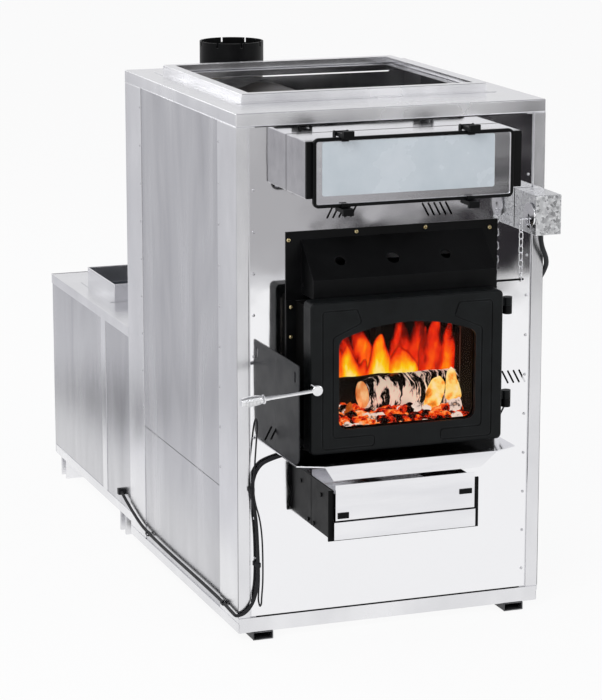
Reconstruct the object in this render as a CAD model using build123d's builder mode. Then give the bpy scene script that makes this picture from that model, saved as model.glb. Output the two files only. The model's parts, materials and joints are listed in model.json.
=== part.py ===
from build123d import *
import math
import os

# A wood-burning hot air furnace: a galvanised cabinet round a steel firebox and heat exchanger,
# with a return-air box and blower behind it. Millimetres, +X right, +Y back, +Z up.
# The origin is on the floor, at the middle of the whole furnace's length and width.

# Cabinet
cabinet_w = 762.0
cabinet_d = 876.0
cabinet_h = 1219.0
sheet = 1.5
skid_w = 50.0
skid_h = 20.0
skid_wall = 2.5
skid_spread = 320.0
rail_front_h = 36.0
rail_side_h = 25.0
post_front_w = 30.0
post_side_w = 135.0
post_flange_w = 16.0
panel_recess = 2.5
panel_gap = 3.0
lip_h = 30.0
side_overlap = 15.0
side_seam_h = 324.0
side_seam_gap = 1.5

# Supply collar on the roof
plenum_w = 616.0
plenum_d = 609.0
plenum_y_from_front = 479.5
plenum_h = 20.0
plenum_lip = 25.0
plenum_flange = 18.0

# Firebox
firebox_w = 526.0
firebox_y0 = 60.0
firebox_len = 700.0
firebox_z0 = 409.0
firebox_h = 421.0
firebox_wall = 6.0
brick_w = 114.0
brick_h = 229.0
brick_t = 32.0
brick_joint = 1.0
side_bricks = 5
rear_bricks = 4
grate_w = 320.0
grate_len = 270.0
grate_t = 12.0
grate_y0 = 80.0
grate_ledge = 15.0
grate_slot_w = 9.0
grate_bar_pitch = 24.0
baffle_len = 420.0
baffle_drop = 60.0

# Heat exchanger and flue
header_z0 = 965.0
header_h = 230.0
header_y1 = 120.0
header_wall = 4.0
drum_x = -54.0
drum_z = 1080.0
drum_r = 110.0
drum_wall = 4.0
tube_r = 47.5
tube_wall = 4.0
tube_x = (111.0, 214.0)
uptake_len = 108.0
uptake_x0 = 56.0
uptake_h = 335.0
flue_r = 80.0
flue_wall = 3.0
flue_bend_r = 120.0
flue_y_from_front = 1000.0
collar_bore_r = 78.0
collar_wall = 5.0
collar_h = 68.0
collar_notch_w = 5.0
collar_notch_h = 12.0
collar_notches = 8
flue_hole_gap = 4.0

# Loading throat and door
throat_x = -17.5
throat_w = 441.0
throat_z0 = 466.0
throat_h = 318.0
throat_reach = 91.5
throat_wall = 5.0
surround_w = 526.0
surround_z0 = 440.0
surround_t = 4.5
door_w = 471.0
door_h = 352.0
door_t = 48.0
door_back = 92.0
door_z0 = 452.0
door_plate_t = 12.0
door_rim_w = 36.0
door_edge_r = 6.0
window_w = 336.0
window_sill = 507.0
window_spring = 714.0
window_crown = 747.0
window_corner_r = 22.0
glass_t = 4.0
glass_lap = 12.0
retainer_w = 16.0
retainer_t = 2.5
gasket_r = 5.5
gasket_corner_r = 20.0
soft_gap = 0.3
groove_w = 4.0
groove_depth = 2.0
hinge_x_gap = 23.0
hinge_y_reach = 110.0
hinge_barrel_r = 11.0
hinge_pin_r = 5.0
hinge_play = 0.1
hinge_knuckle_h = 40.0
hinge_heights = (520.0, 741.0)
hinge_arm_t = 10.0

# Handle and latch plate
handle_z = 609.0
handle_inset = 8.0
handle_rod_r = 5.0
handle_hub_r = 13.0
handle_hub_len = 24.0
handle_dip = 4.5
handle_stud_len = 12.0
handle_gap = 0.3
handle_rod_back = 12.7
grip_len = 54.0
grip_coil_r = 11.0
grip_wire = 3.0
grip_pitch = 4.2
grip_overhang = 48.0
lever_clear = 1.0
latch_plate_x = -287.0
latch_plate_t = 3.0
latch_plate_reach = 152.0
latch_plate_z0 = 434.0
latch_plate_h = 233.0
latch_plate_r = 22.0
latch_flange_w = 18.0

# Air manifold over the door
hood_flange_z1 = 944.0
hood_flange_t = 2.0
hood_w = 450.0
hood_reach = 80.0
hood_top_z = 925.0
hood_fold_z = 843.0
hood_lip_z = 800.0
hood_wall = 2.0
hood_hole_r = (12.0, 15.0, 12.0)
hood_hole_pitch = 130.0
damper_pivot_y = 10.0
damper_pivot_z = 821.0
damper_pin_r = 4.0
damper_len = 62.0
damper_t = 2.0
damper_rest = 11.0
damper_side_gap = 1.0
lever_r = 2.5
lever_arm = 58.0

# Draft control box and its chain
control_inset = 11.0
control_w = 64.0
control_d = 118.0
control_z0 = 920.0
control_h = 93.0
control_wall = 1.5
motor_w = 48.0
motor_d = 70.0
motor_h = 60.0
motor_shift = 10.0
wheel_r = 30.0
wheel_t = 4.0
wheel_gap = 1.0
wheel_z = 963.0
wheel_shaft_r = 4.0
crank_r = 22.0
crank_pin_r = 2.0
crank_pin_len = 16.0
crank_rest = 30.0
chain_gap = 14.0
chain_links = 9
chain_wire = 2.4
chain_inner_w = 8.4
chain_play = 0.25
chain_pin_play = 1.0

# Clean-out hatch above the manifold
hatch_w = 522.0
hatch_z0 = 1040.0
hatch_h = 128.0
hatch_reach = 131.0
hatch_wall = 3.0
hatch_rim_w = 20.0
cover_w = 486.0
cover_h = 157.0
cover_z0 = 1019.0
cover_t = 9.0
cover_corner_r = 14.0
cover_x = -5.0
badge_w = 417.0
badge_h = 122.0
badge_t = 1.5
badge_x = -17.0
badge_rise = 8.5
clamp_spread = 152.0
clamp_x = -22.0
clamp_w = 26.0
clamp_t = 9.0
clamp_len = 46.0
clamp_pin_r = 3.0
clamp_pin_y = 116.0
clamp_lug_h = 14.0
clamp_lug_low = 19.0
keeper_h = 9.0
keeper_t = 8.0

# Hearth shelf and ash box
shelf_reach = 175.0
shelf_x = -20.5
shelf_w = 540.0
shelf_corner_x = 59.0
shelf_corner_y = 28.0
shelf_z = 434.0
shelf_t = 3.0
apron_drop = 39.0
apron_back = 22.0
apron_narrow = 29.0
ash_x = -24.5
ash_w = 351.0
ash_wall = 3.0
ash_z0 = 246.0
ash_front = 140.0
ash_back = 340.0
cheek_h = 120.0
cheek_flange = 11.0
cheek_foot_r = 12.0
drawer_gap = 1.5
drawer_h = 42.0
drawer_front_t = 2.0
drawer_len = 460.0
flap_gap = 2.0
flap_h = 86.0
flap_t = 2.0
flap_pivot_y = 110.0
flap_pivot_z = 345.0
flap_pin_r = 4.0
flap_arm_t = 3.0

# Return-air box
return_d = 764.0
box_z0 = 35.0
box_h = 519.0
box_lip_h = 26.0
box_seam_from_rear = 239.0
box_flange = 22.0
return_collar_w = 642.0
return_collar_y0 = 334.0
return_collar_d = 262.0
return_collar_h = 45.0
return_flange = 16.0
filter_from_rear = 320.0
filter_w = 635.0
filter_h = 406.0
filter_z0 = 62.0
filter_t = 25.0
filter_frame_w = 18.0
filter_slot_gap = 2.0
filter_cap_w = 34.0
door_gap = 2.0
service_hinge_r = 4.0

# Blower
blower_y = 150.0
blower_z = 262.0
scroll_r = 140.0
scroll_shift_y = 0.0
scroll_shift_z = 12.0
housing_w = 262.0
outlet_h = 100.0
inlet_r = 82.0
rotor_r = 100.0
rotor_w = 230.0
blade_count = 36
blade_t = 1.6
blade_depth = 22.0
motor_r = 50.0
motor_len = 140.0
shaft_r = 6.35
shaft_play = 0.05
bracket_arm_w = 20.0
bracket_t = 4.0

# Wiring and conduit
cable_r = 4.0
thin_cable_r = 2.0
conduit_r = 6.0
conduit_reach = 13.0
clip_t = 10.0

# Rivets and screws
rivet_r = 3.6
rivet_h = 1.6
rivet_pitch = 96.0
screw_r = 5.0
screw_h = 3.0

# Places worked out from the dimensions above
mid_x = (grip_overhang - conduit_reach) / 2
left_x = mid_x - cabinet_w / 2
right_x = mid_x + cabinet_w / 2
front_y = shelf_reach - (cabinet_d + return_d + shelf_reach) / 2
rear_y = front_y + cabinet_d
end_y = rear_y + return_d
mid_y = (front_y + rear_y) / 2
base_z = skid_h
top_z = base_z + cabinet_h
lip_z = top_z - lip_h
panel_y = front_y + panel_recess
panel_back_y = panel_y + sheet
rear_panel_y = rear_y - panel_recess - sheet
panel_x0 = left_x + post_front_w + panel_gap
panel_x1 = right_x - post_front_w - panel_gap
door_x = mid_x + throat_x


def slab(x, y, z, mode=Mode.ADD):
    """A box between two corners, each axis given as (low, high)."""
    with Locations(((x[0] + x[1]) / 2, (y[0] + y[1]) / 2, (z[0] + z[1]) / 2)):
        Box(x[1] - x[0], y[1] - y[0], z[1] - z[0], mode=mode)


def rod(axis, centre, radius, length, mode=Mode.ADD):
    """A cylinder about its centre, along X, Y or Z."""
    turn = {"X": (0, 90, 0), "Y": (90, 0, 0), "Z": (0, 0, 0)}[axis]
    with Locations(Location(centre, turn)):
        Cylinder(radius, length, mode=mode)


def across(centre, width):
    """The low and high ends of a width about its centre."""
    return (centre - width / 2, centre + width / 2)


def up(low, height):
    """The low and high ends of a height above its foot."""
    return (low, low + height)


def facing(y):
    """A sketch plane parallel to the front, with local x along X and local y along Z."""
    return Plane.XZ.offset(-y)


def save(piece, label):
    """Give a finished piece its name and write it."""
    piece.part.label = label
    export_step(piece.part, f"parts/{label}.step")


os.makedirs("parts", exist_ok=True)

# Skids: two steel tubes with open ends
with BuildPart() as skid_rails:
    for side in (-1, 1):
        skid_x = mid_x + side * skid_spread
        slab(across(skid_x, skid_w), (front_y, rear_y), (0, skid_h))
        slab(
            across(skid_x, skid_w - 2 * skid_wall),
            (front_y, rear_y),
            (skid_wall, skid_h - skid_wall),
            Mode.SUBTRACT,
        )
save(skid_rails, "skid_rails")

# Base pan: the cabinet's floor with its turned-up rails
with BuildPart() as base_pan:
    slab((left_x, right_x), (front_y, rear_y), up(base_z, rail_side_h))
    slab(
        (left_x + sheet, right_x - sheet),
        (front_y + sheet, rear_y - sheet),
        (base_z + sheet, base_z + rail_side_h),
        Mode.SUBTRACT,
    )
    slab(
        (left_x + sheet, right_x - sheet),
        (front_y, front_y + sheet),
        (base_z + rail_side_h, base_z + rail_front_h),
    )
save(base_pan, "base_pan")


def post_leg(side, end, u, v, z):
    """Part of a corner post, with u in from the side face and v in from the end face."""
    x = sorted(mid_x + side * (cabinet_w / 2 - inset) for inset in u)
    y = sorted(mid_y + end * (cabinet_d / 2 - inset) for inset in v)
    slab(x, y, z)


# Corner posts, each folded from one sheet, with a set-back flange that carries the end panel
with BuildPart() as corner_posts:
    for side in (-1, 1):
        for end in (-1, 1):
            foot_z = base_z + (rail_front_h if end < 0 else rail_side_h)
            step = (post_front_w - sheet, post_front_w)
            seat = (panel_recess + sheet, panel_recess + 2 * sheet)
            post_leg(side, end, (0, sheet), (0, post_side_w), (base_z + rail_side_h, lip_z))
            post_leg(side, end, (0, post_front_w), (0, sheet), (foot_z, lip_z))
            post_leg(side, end, step, (0, seat[1]), (foot_z, lip_z))
            post_leg(side, end, (step[0], post_front_w + post_flange_w), seat, (foot_z, lip_z))
save(corner_posts, "corner_posts")

# Roof sheet with turned-down lips and the opening under the supply collar
plenum_y = front_y + plenum_y_from_front
plenum_hole_w = plenum_w - 2 * plenum_lip
plenum_hole_d = plenum_d - 2 * plenum_lip
with BuildPart() as top_deck:
    slab((left_x, right_x), (front_y, rear_y), (lip_z, top_z))
    slab(
        (left_x + sheet, right_x - sheet),
        (front_y + sheet, rear_y - sheet),
        (lip_z, top_z - sheet),
        Mode.SUBTRACT,
    )
    slab(
        across(mid_x, plenum_hole_w),
        across(plenum_y, plenum_hole_d),
        (top_z - sheet, top_z),
        Mode.SUBTRACT,
    )
save(top_deck, "top_deck")

# Supply collar: foot flange, upright wall and inward lip
with BuildPart() as plenum_collar:
    slab(
        across(mid_x, plenum_w + 2 * plenum_flange),
        across(plenum_y, plenum_d + 2 * plenum_flange),
        up(top_z, sheet),
    )
    slab(across(mid_x, plenum_w), across(plenum_y, plenum_d), up(top_z, plenum_h))
    slab(
        across(mid_x, plenum_w - 2 * sheet),
        across(plenum_y, plenum_d - 2 * sheet),
        (top_z, top_z + plenum_h - sheet),
        Mode.SUBTRACT,
    )
    slab(
        across(mid_x, plenum_hole_w),
        across(plenum_y, plenum_hole_d),
        (top_z + plenum_h - sheet, top_z + plenum_h),
        Mode.SUBTRACT,
    )
save(plenum_collar, "plenum_collar")

# Openings that the front panel leaves
throat_xs = across(door_x, throat_w)
throat_zs = up(base_z + throat_z0, throat_h)
hatch_xs = across(mid_x, hatch_w)
hatch_zs = up(base_z + hatch_z0, hatch_h)
ash_xs = across(mid_x + ash_x, ash_w)
ash_top_z = base_z + ash_z0 + ash_wall + drawer_gap + drawer_h + flap_gap + flap_h
ash_zs = (base_z + ash_z0, ash_top_z)
cut_gap = 0.5
air_slot_w = 300.0
air_slot_h = 22.0
air_slot_z = 880.0
louvre_len = 36.0
louvre_w = 4.5
louvre_pitch = 14.5
louvre_tilt = 62.0
louvre_groups = (
    (-125.0, 985.0, 1, 5),
    (110.0, 976.0, -1, 5),
    (311.0, 561.0, -1, 4),
    (279.0, 487.0, 1, 2),
    (-298.0, 476.0, 1, 2),
)

with BuildPart() as front_panel:
    slab(
        (panel_x0, panel_x1),
        (panel_y, panel_back_y),
        (base_z + rail_front_h + panel_gap, lip_z - panel_gap),
    )
    for hole_x, hole_z in ((throat_xs, throat_zs), (hatch_xs, hatch_zs), (ash_xs, ash_zs)):
        slab(
            (hole_x[0] - cut_gap, hole_x[1] + cut_gap),
            (panel_y, panel_back_y),
            (hole_z[0] - cut_gap, hole_z[1] + cut_gap),
            Mode.SUBTRACT,
        )
    slab(
        across(mid_x, air_slot_w),
        (panel_y, panel_back_y),
        across(base_z + air_slot_z, air_slot_h),
        Mode.SUBTRACT,
    )
    with BuildSketch(facing(panel_y)):
        for group_x, group_z, lean, slot_count in louvre_groups:
            for slot in range(round(slot_count)):
                slot_x = mid_x + group_x + (slot - (slot_count - 1) / 2) * louvre_pitch
                with Locations((slot_x, base_z + group_z)):
                    SlotOverall(louvre_len, louvre_w, rotation=lean * louvre_tilt)
    extrude(amount=-sheet, mode=Mode.SUBTRACT)
save(front_panel, "front_panel")

# Side panels: an upper and a lower sheet behind the posts on each side
side_ys = (front_y + post_side_w - side_overlap, rear_y - post_side_w + side_overlap)
seam_z = base_z + side_seam_h
with BuildPart() as side_panels:
    for side in (-1, 1):
        face_x = mid_x + side * (cabinet_w / 2 - sheet)
        side_xs = sorted((face_x, face_x - side * sheet))
        slab(side_xs, side_ys, (seam_z, top_z - sheet))
        slab(side_xs, side_ys, (base_z + sheet, seam_z - side_seam_gap))
save(side_panels, "side_panels")

# Rear panel with the flue hole and the blower's outlet
flue_x = mid_x + drum_x
flue_axis_z = base_z + drum_z
outlet_xs = across(mid_x, housing_w)
scroll_y = rear_y + blower_y + scroll_shift_y
scroll_z = base_z + blower_z + scroll_shift_z
outlet_zs = (scroll_z + scroll_r - outlet_h, scroll_z + scroll_r)
with BuildPart() as rear_panel:
    slab(
        (panel_x0, panel_x1),
        up(rear_panel_y, sheet),
        (base_z + rail_side_h + panel_gap, lip_z - panel_gap),
    )
    rod("Y", (flue_x, rear_panel_y, flue_axis_z), flue_r + flue_hole_gap, 4 * sheet, Mode.SUBTRACT)
    slab(
        (outlet_xs[0] - cut_gap, outlet_xs[1] + cut_gap),
        up(rear_panel_y, sheet),
        (outlet_zs[0] - cut_gap, outlet_zs[1] + cut_gap),
        Mode.SUBTRACT,
    )
save(rear_panel, "rear_panel")

# Rivet heads along the cabinet's panels
with BuildPart() as panel_rivets:
    row_count = int((lip_z - seam_z) // rivet_pitch) + 1
    for side in (-1, 1):
        face_x = mid_x + side * cabinet_w / 2
        for row_y in (front_y + post_side_w - side_overlap / 2, rear_y - post_side_w + side_overlap / 2):
            for row in range(row_count):
                rivet_z = seam_z + rivet_pitch / 2 + row * rivet_pitch
                if rivet_z < lip_z - rivet_r:
                    rod("X", (face_x + side * rivet_h / 2, row_y, rivet_z), rivet_r, rivet_h)
    for panel_x in (panel_x0 + post_flange_w / 2, panel_x1 - post_flange_w / 2):
        for row in range(int(cabinet_h // rivet_pitch) - 1):
            rivet_z = base_z + rail_front_h + rivet_pitch / 2 + row * rivet_pitch
            rod("Y", (panel_x, panel_y - rivet_h / 2, rivet_z), rivet_r, rivet_h)
save(panel_rivets, "panel_rivets")

# Firebox: a welded shell, open at the throat, over the grate and under the uptake
firebox_xs = across(mid_x, firebox_w)
firebox_ys = up(front_y + firebox_y0, firebox_len)
firebox_zs = up(base_z + firebox_z0, firebox_h)
inner_xs = (firebox_xs[0] + firebox_wall, firebox_xs[1] - firebox_wall)
inner_ys = (firebox_ys[0] + firebox_wall, firebox_ys[1] - firebox_wall)
inner_zs = (firebox_zs[0] + firebox_wall, firebox_zs[1] - firebox_wall)
uptake_xs = (mid_x + uptake_x0, firebox_xs[1])
uptake_ys = (firebox_ys[1] - uptake_len, firebox_ys[1])
grate_xs = across(door_x, grate_w)
grate_ys = up(front_y + grate_y0, grate_len)
with BuildPart() as firebox_shell:
    slab(firebox_xs, firebox_ys, firebox_zs)
    slab(inner_xs, inner_ys, inner_zs, Mode.SUBTRACT)
    slab(
        (throat_xs[0] + throat_wall, throat_xs[1] - throat_wall),
        (firebox_ys[0], inner_ys[0]),
        (throat_zs[0] + throat_wall, throat_zs[1] - throat_wall),
        Mode.SUBTRACT,
    )
    slab(
        (grate_xs[0] + grate_ledge, grate_xs[1] - grate_ledge),
        (grate_ys[0] + grate_ledge, grate_ys[1] - grate_ledge),
        (firebox_zs[0], inner_zs[0]),
        Mode.SUBTRACT,
    )
    slab(
        (uptake_xs[0] + header_wall, inner_xs[1] - brick_t),
        (uptake_ys[0] + header_wall, inner_ys[1] - brick_t),
        (inner_zs[1], firebox_zs[1]),
        Mode.SUBTRACT,
    )
    slab(inner_xs, up(inner_ys[0], baffle_len), up(inner_zs[1] - baffle_drop, firebox_wall / 2))
save(firebox_shell, "firebox_shell")

# Firebrick lining: one course along each side and across the back
with BuildPart() as firebrick_lining:
    for side in (-1, 1):
        wall_x = inner_xs[0] if side < 0 else inner_xs[1] - brick_t
        for brick in range(side_bricks):
            brick_y = inner_ys[0] + brick * (brick_w + brick_joint)
            slab(up(wall_x, brick_t), up(brick_y, brick_w), up(inner_zs[0], brick_h))
    course_w = rear_bricks * brick_w + (rear_bricks - 1) * brick_joint
    for brick in range(rear_bricks):
        brick_x = mid_x - course_w / 2 + brick * (brick_w + brick_joint)
        slab(up(brick_x, brick_w), (inner_ys[1] - brick_t, inner_ys[1]), up(inner_zs[0], brick_h))
save(firebrick_lining, "firebrick_lining")

# Cast grate over the ash drawer
with BuildPart() as fire_grate:
    slab(grate_xs, grate_ys, up(inner_zs[0], grate_t))
    slot_span = grate_w - 2 * grate_ledge
    for bar in range(int(slot_span // grate_bar_pitch)):
        slot_x = grate_xs[0] + grate_ledge + (bar + 0.5) * grate_bar_pitch
        slab(
            across(slot_x, grate_slot_w),
            (grate_ys[0] + grate_ledge, grate_ys[1] - grate_ledge),
            up(inner_zs[0], grate_t),
            Mode.SUBTRACT,
        )
save(fire_grate, "fire_grate")

# Exchanger header: the box behind the clean-out hatch, on two legs over the firebox
header_ys = (front_y + firebox_y0, front_y + header_y1)
header_zs = up(base_z + header_z0, header_h)
tube_xs = [mid_x + x for x in tube_x]
with BuildPart() as exchanger_header:
    slab(firebox_xs, header_ys, header_zs)
    slab(
        (firebox_xs[0] + header_wall, firebox_xs[1] - header_wall),
        (header_ys[0] + header_wall, header_ys[1] - header_wall),
        (header_zs[0] + header_wall, header_zs[1] - header_wall),
        Mode.SUBTRACT,
    )
    slab(
        (hatch_xs[0] + hatch_wall, hatch_xs[1] - hatch_wall),
        (header_ys[0], header_ys[0] + header_wall),
        (hatch_zs[0] + hatch_wall, hatch_zs[1] - hatch_wall),
        Mode.SUBTRACT,
    )
    rod("Y", (flue_x, header_ys[1], flue_axis_z), drum_r - drum_wall, 3 * header_wall, Mode.SUBTRACT)
    for x in tube_xs:
        rod("Y", (x, header_ys[1], flue_axis_z), tube_r - tube_wall, 3 * header_wall, Mode.SUBTRACT)
    for leg_x in (firebox_xs[0], firebox_xs[1] - header_wall):
        slab(up(leg_x, header_wall), header_ys, (firebox_zs[1], header_zs[0]))
save(exchanger_header, "exchanger_header")

# Exchanger drum: the last smoke pass, back to the flue
drum_ys = (header_ys[1], firebox_ys[1])
drum_len = drum_ys[1] - drum_ys[0]
with BuildPart() as exchanger_drum:
    rod("Y", (flue_x, sum(drum_ys) / 2, flue_axis_z), drum_r, drum_len)
    rod(
        "Y",
        (flue_x, (drum_ys[0] + drum_ys[1] - drum_wall) / 2, flue_axis_z),
        drum_r - drum_wall,
        drum_len - drum_wall,
        Mode.SUBTRACT,
    )
    rod("Y", (flue_x, drum_ys[1], flue_axis_z), flue_r - flue_wall, 3 * drum_wall, Mode.SUBTRACT)
save(exchanger_drum, "exchanger_drum")

# Exchanger tubes: the first pass, from the uptake forward to the header
tube_ys = (header_ys[1], uptake_ys[0])
with BuildPart() as exchanger_tubes:
    for x in tube_xs:
        rod("Y", (x, sum(tube_ys) / 2, flue_axis_z), tube_r, tube_ys[1] - tube_ys[0])
        rod(
            "Y",
            (x, sum(tube_ys) / 2, flue_axis_z),
            tube_r - tube_wall,
            tube_ys[1] - tube_ys[0],
            Mode.SUBTRACT,
        )
save(exchanger_tubes, "exchanger_tubes")

# Smoke uptake: the duct from the firebox roof to the tubes
uptake_zs = up(firebox_zs[1], uptake_h)
with BuildPart() as smoke_uptake:
    slab(uptake_xs, uptake_ys, uptake_zs)
    slab(
        (uptake_xs[0] + header_wall, uptake_xs[1] - header_wall),
        (uptake_ys[0] + header_wall, uptake_ys[1] - header_wall),
        (uptake_zs[0], uptake_zs[1] - header_wall),
        Mode.SUBTRACT,
    )
    for x in tube_xs:
        rod("Y", (x, uptake_ys[0], flue_axis_z), tube_r - tube_wall, 3 * header_wall, Mode.SUBTRACT)
save(smoke_uptake, "smoke_uptake")

# Flue elbow: a straight leg out of the drum and a quarter bend upward
flue_y = front_y + flue_y_from_front
bend_y = flue_y - flue_bend_r
flue_top_z = flue_axis_z + flue_bend_r
with BuildPart() as flue_elbow:
    with BuildSketch(facing(drum_ys[1])):
        with Locations((flue_x, flue_axis_z)):
            Circle(flue_r)
            Circle(flue_r - flue_wall, mode=Mode.SUBTRACT)
    extrude(amount=drum_ys[1] - bend_y)
    with BuildSketch(facing(bend_y)):
        with Locations((flue_x, flue_axis_z)):
            Circle(flue_r)
            Circle(flue_r - flue_wall, mode=Mode.SUBTRACT)
    revolve(axis=Axis((0, bend_y, flue_top_z), (1, 0, 0)), revolution_arc=90)
save(flue_elbow, "flue_elbow")

# Flue collar: a heavy ring with a crimped top edge and rivets, for a six-inch pipe
with BuildPart() as flue_collar:
    with Locations((flue_x, flue_y, flue_top_z + collar_h / 2)):
        Cylinder(collar_bore_r + collar_wall, collar_h)
        Cylinder(collar_bore_r, collar_h, mode=Mode.SUBTRACT)
    with Locations((flue_x, flue_y, flue_top_z + collar_h - collar_notch_h / 2)):
        with PolarLocations(collar_bore_r + collar_wall / 2, collar_notches):
            Box(4 * collar_wall, collar_notch_w, collar_notch_h, mode=Mode.SUBTRACT)
save(flue_collar, "flue_collar")

# Black surround plate behind the door
surround_zs = (base_z + surround_z0, throat_zs[1] + 1)
with BuildPart() as door_surround:
    slab(across(mid_x, surround_w), (panel_y - surround_t, panel_y), surround_zs)
    slab(
        (throat_xs[0], throat_xs[1]), (panel_y - surround_t, panel_y), throat_zs, Mode.SUBTRACT
    )
save(door_surround, "door_surround")

# Loading throat: the square duct between the firebox and the door
throat_front_y = front_y - throat_reach
with BuildPart() as loading_throat:
    slab(throat_xs, (throat_front_y, firebox_ys[0]), throat_zs)
    slab(
        (throat_xs[0] + throat_wall, throat_xs[1] - throat_wall),
        (throat_front_y, firebox_ys[0]),
        (throat_zs[0] + throat_wall, throat_zs[1] - throat_wall),
        Mode.SUBTRACT,
    )
save(loading_throat, "loading_throat")

# Latch plate beside the door, standing on the shelf
latch_xs = up(mid_x + latch_plate_x, latch_plate_t)
latch_zs = up(base_z + latch_plate_z0, latch_plate_h)
latch_slot_len = 26.0
latch_slot_w = 9.0
latch_slot_z = 636.0
latch_slot_y = 128.0
with BuildPart() as latch_plate:
    with BuildSketch(Plane.YZ.offset(latch_xs[0])):
        with BuildLine():
            FilletPolyline(
                (panel_y, latch_zs[0]),
                (front_y - latch_plate_reach, latch_zs[0]),
                (front_y - latch_plate_reach, latch_zs[1]),
                (panel_y, latch_zs[1]),
                radius=[latch_plate_r, latch_plate_r / 4],
            )
            Line((panel_y, latch_zs[1]), (panel_y, latch_zs[0]))
        make_face()
        with Locations((front_y - latch_slot_y, base_z + latch_slot_z)):
            SlotOverall(latch_slot_len, latch_slot_w, rotation=90, mode=Mode.SUBTRACT)
    extrude(amount=latch_plate_t)
    slab(
        (latch_xs[1], latch_xs[1] + latch_flange_w),
        (panel_y - latch_plate_t, panel_y),
        (latch_zs[0] + latch_plate_r, latch_zs[1] - latch_plate_r),
    )
save(latch_plate, "latch_plate")

# Air manifold: a folded hood with round inlets, open below, on a flange
hood_face_y = panel_y - hood_flange_t
hood_front_y = front_y - hood_reach
hood_xs = across(mid_x, hood_w)
hood_slope = (hood_top_z - hood_fold_z) / (hood_face_y - hood_front_y)
hood_drop = hood_wall * math.hypot(1, hood_slope)
hood_hole_z = (hood_top_z + hood_fold_z) / 2 - 6
hood_hole_y = hood_front_y + (hood_hole_z - hood_fold_z) / hood_slope
pivot_y = front_y - damper_pivot_y
pivot_z = base_z + damper_pivot_z
lever_slot_r = lever_r + 1.5
with BuildPart() as air_manifold:
    slab(
        across(mid_x, surround_w),
        (hood_face_y, panel_y),
        (surround_zs[1], base_z + hood_flange_z1),
    )
    slab(
        across(mid_x, air_slot_w),
        (hood_face_y, panel_y),
        across(base_z + air_slot_z, air_slot_h),
        Mode.SUBTRACT,
    )
    with BuildSketch(Plane.YZ.offset(hood_xs[0])):
        with BuildLine():
            Polyline(
                (hood_face_y, base_z + hood_lip_z),
                (hood_front_y, base_z + hood_lip_z),
                (hood_front_y, base_z + hood_fold_z),
                (hood_face_y, base_z + hood_top_z),
                close=True,
            )
        make_face()
    extrude(amount=hood_w)
    with BuildSketch(Plane.YZ.offset(hood_xs[0] + hood_wall)):
        with BuildLine():
            Polyline(
                (hood_face_y, base_z + hood_lip_z),
                (hood_front_y + hood_wall, base_z + hood_lip_z),
                (hood_front_y + hood_wall, base_z + hood_fold_z + hood_slope * hood_wall - hood_drop),
                (hood_face_y, base_z + hood_top_z - hood_drop),
                close=True,
            )
        make_face()
    extrude(amount=hood_w - 2 * hood_wall, mode=Mode.SUBTRACT)
    # The three holes are drilled square to the slope
    hood_tilt = math.degrees(math.atan(hood_slope))
    for step, hole_r in zip((-1, 0, 1), hood_hole_r):
        centre = (door_x + step * hood_hole_pitch, hood_hole_y, base_z + hood_hole_z)
        with Locations(Location(centre, (hood_tilt, 0, 0))):
            Cylinder(hole_r, 6 * hood_wall, mode=Mode.SUBTRACT)
    rod("X", (mid_x, pivot_y, pivot_z), damper_pin_r + hinge_play, hood_w, Mode.SUBTRACT)
    lever_rise = lever_arm * math.sin(math.radians(damper_rest)) + lever_slot_r
    lever_back = lever_arm * math.cos(math.radians(damper_rest)) - lever_slot_r
    slab(
        (hood_xs[1] - 2 * hood_wall, hood_xs[1] + hood_wall),
        (pivot_y - lever_arm - lever_slot_r, pivot_y - lever_back),
        across(pivot_z, 2 * lever_rise),
        Mode.SUBTRACT,
    )
save(air_manifold, "air_manifold")

# Screw heads along the manifold's flange and the surround
flange_screws = ((-256, 925), (-91, 935), (80, 935), (242, 925), (247, 806), (247, 793))
surround_screws = ((-251, 770), (-251, 700), (251, 700), (251, 640))
with BuildPart() as manifold_screws:
    for screw_x, screw_z in flange_screws:
        centre = (mid_x + screw_x, hood_face_y - screw_h / 2, base_z + screw_z)
        rod("Y", centre, screw_r, screw_h)
    for screw_x, screw_z in surround_screws:
        centre = (mid_x + screw_x, panel_y - surround_t - screw_h / 2, base_z + screw_z)
        rod("Y", centre, screw_r, screw_h)
save(manifold_screws, "manifold_screws")

# Hearth shelf with cut front corners and a sloping apron
shelf_mid_x = mid_x + shelf_x
shelf_front_y = front_y - shelf_reach
shelf_top_z = base_z + shelf_z
apron_half = shelf_w / 2 - shelf_corner_x
with BuildPart() as hearth_shelf:
    with BuildSketch(Plane.XY.offset(shelf_top_z - shelf_t)):
        with BuildLine():
            Polyline(
                (shelf_mid_x - shelf_w / 2, panel_y),
                (shelf_mid_x - shelf_w / 2, shelf_front_y + shelf_corner_y),
                (shelf_mid_x - apron_half, shelf_front_y),
                (shelf_mid_x + apron_half, shelf_front_y),
                (shelf_mid_x + shelf_w / 2, shelf_front_y + shelf_corner_y),
                (shelf_mid_x + shelf_w / 2, panel_y),
                close=True,
            )
        make_face()
    extrude(amount=shelf_t)
    apron_up = Vector(0, -apron_back, apron_drop)
    apron_plane = Plane(
        (shelf_mid_x, shelf_front_y, shelf_top_z - shelf_t),
        x_dir=(1, 0, 0),
        z_dir=Vector(1, 0, 0).cross(apron_up),
    )
    with BuildSketch(apron_plane):
        with BuildLine():
            Polyline(
                (-apron_half, 0),
                (apron_half, 0),
                (apron_half - apron_narrow, -apron_up.length),
                (apron_narrow - apron_half, -apron_up.length),
                close=True,
            )
        make_face()
    extrude(amount=-shelf_t)
save(hearth_shelf, "hearth_shelf")

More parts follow.
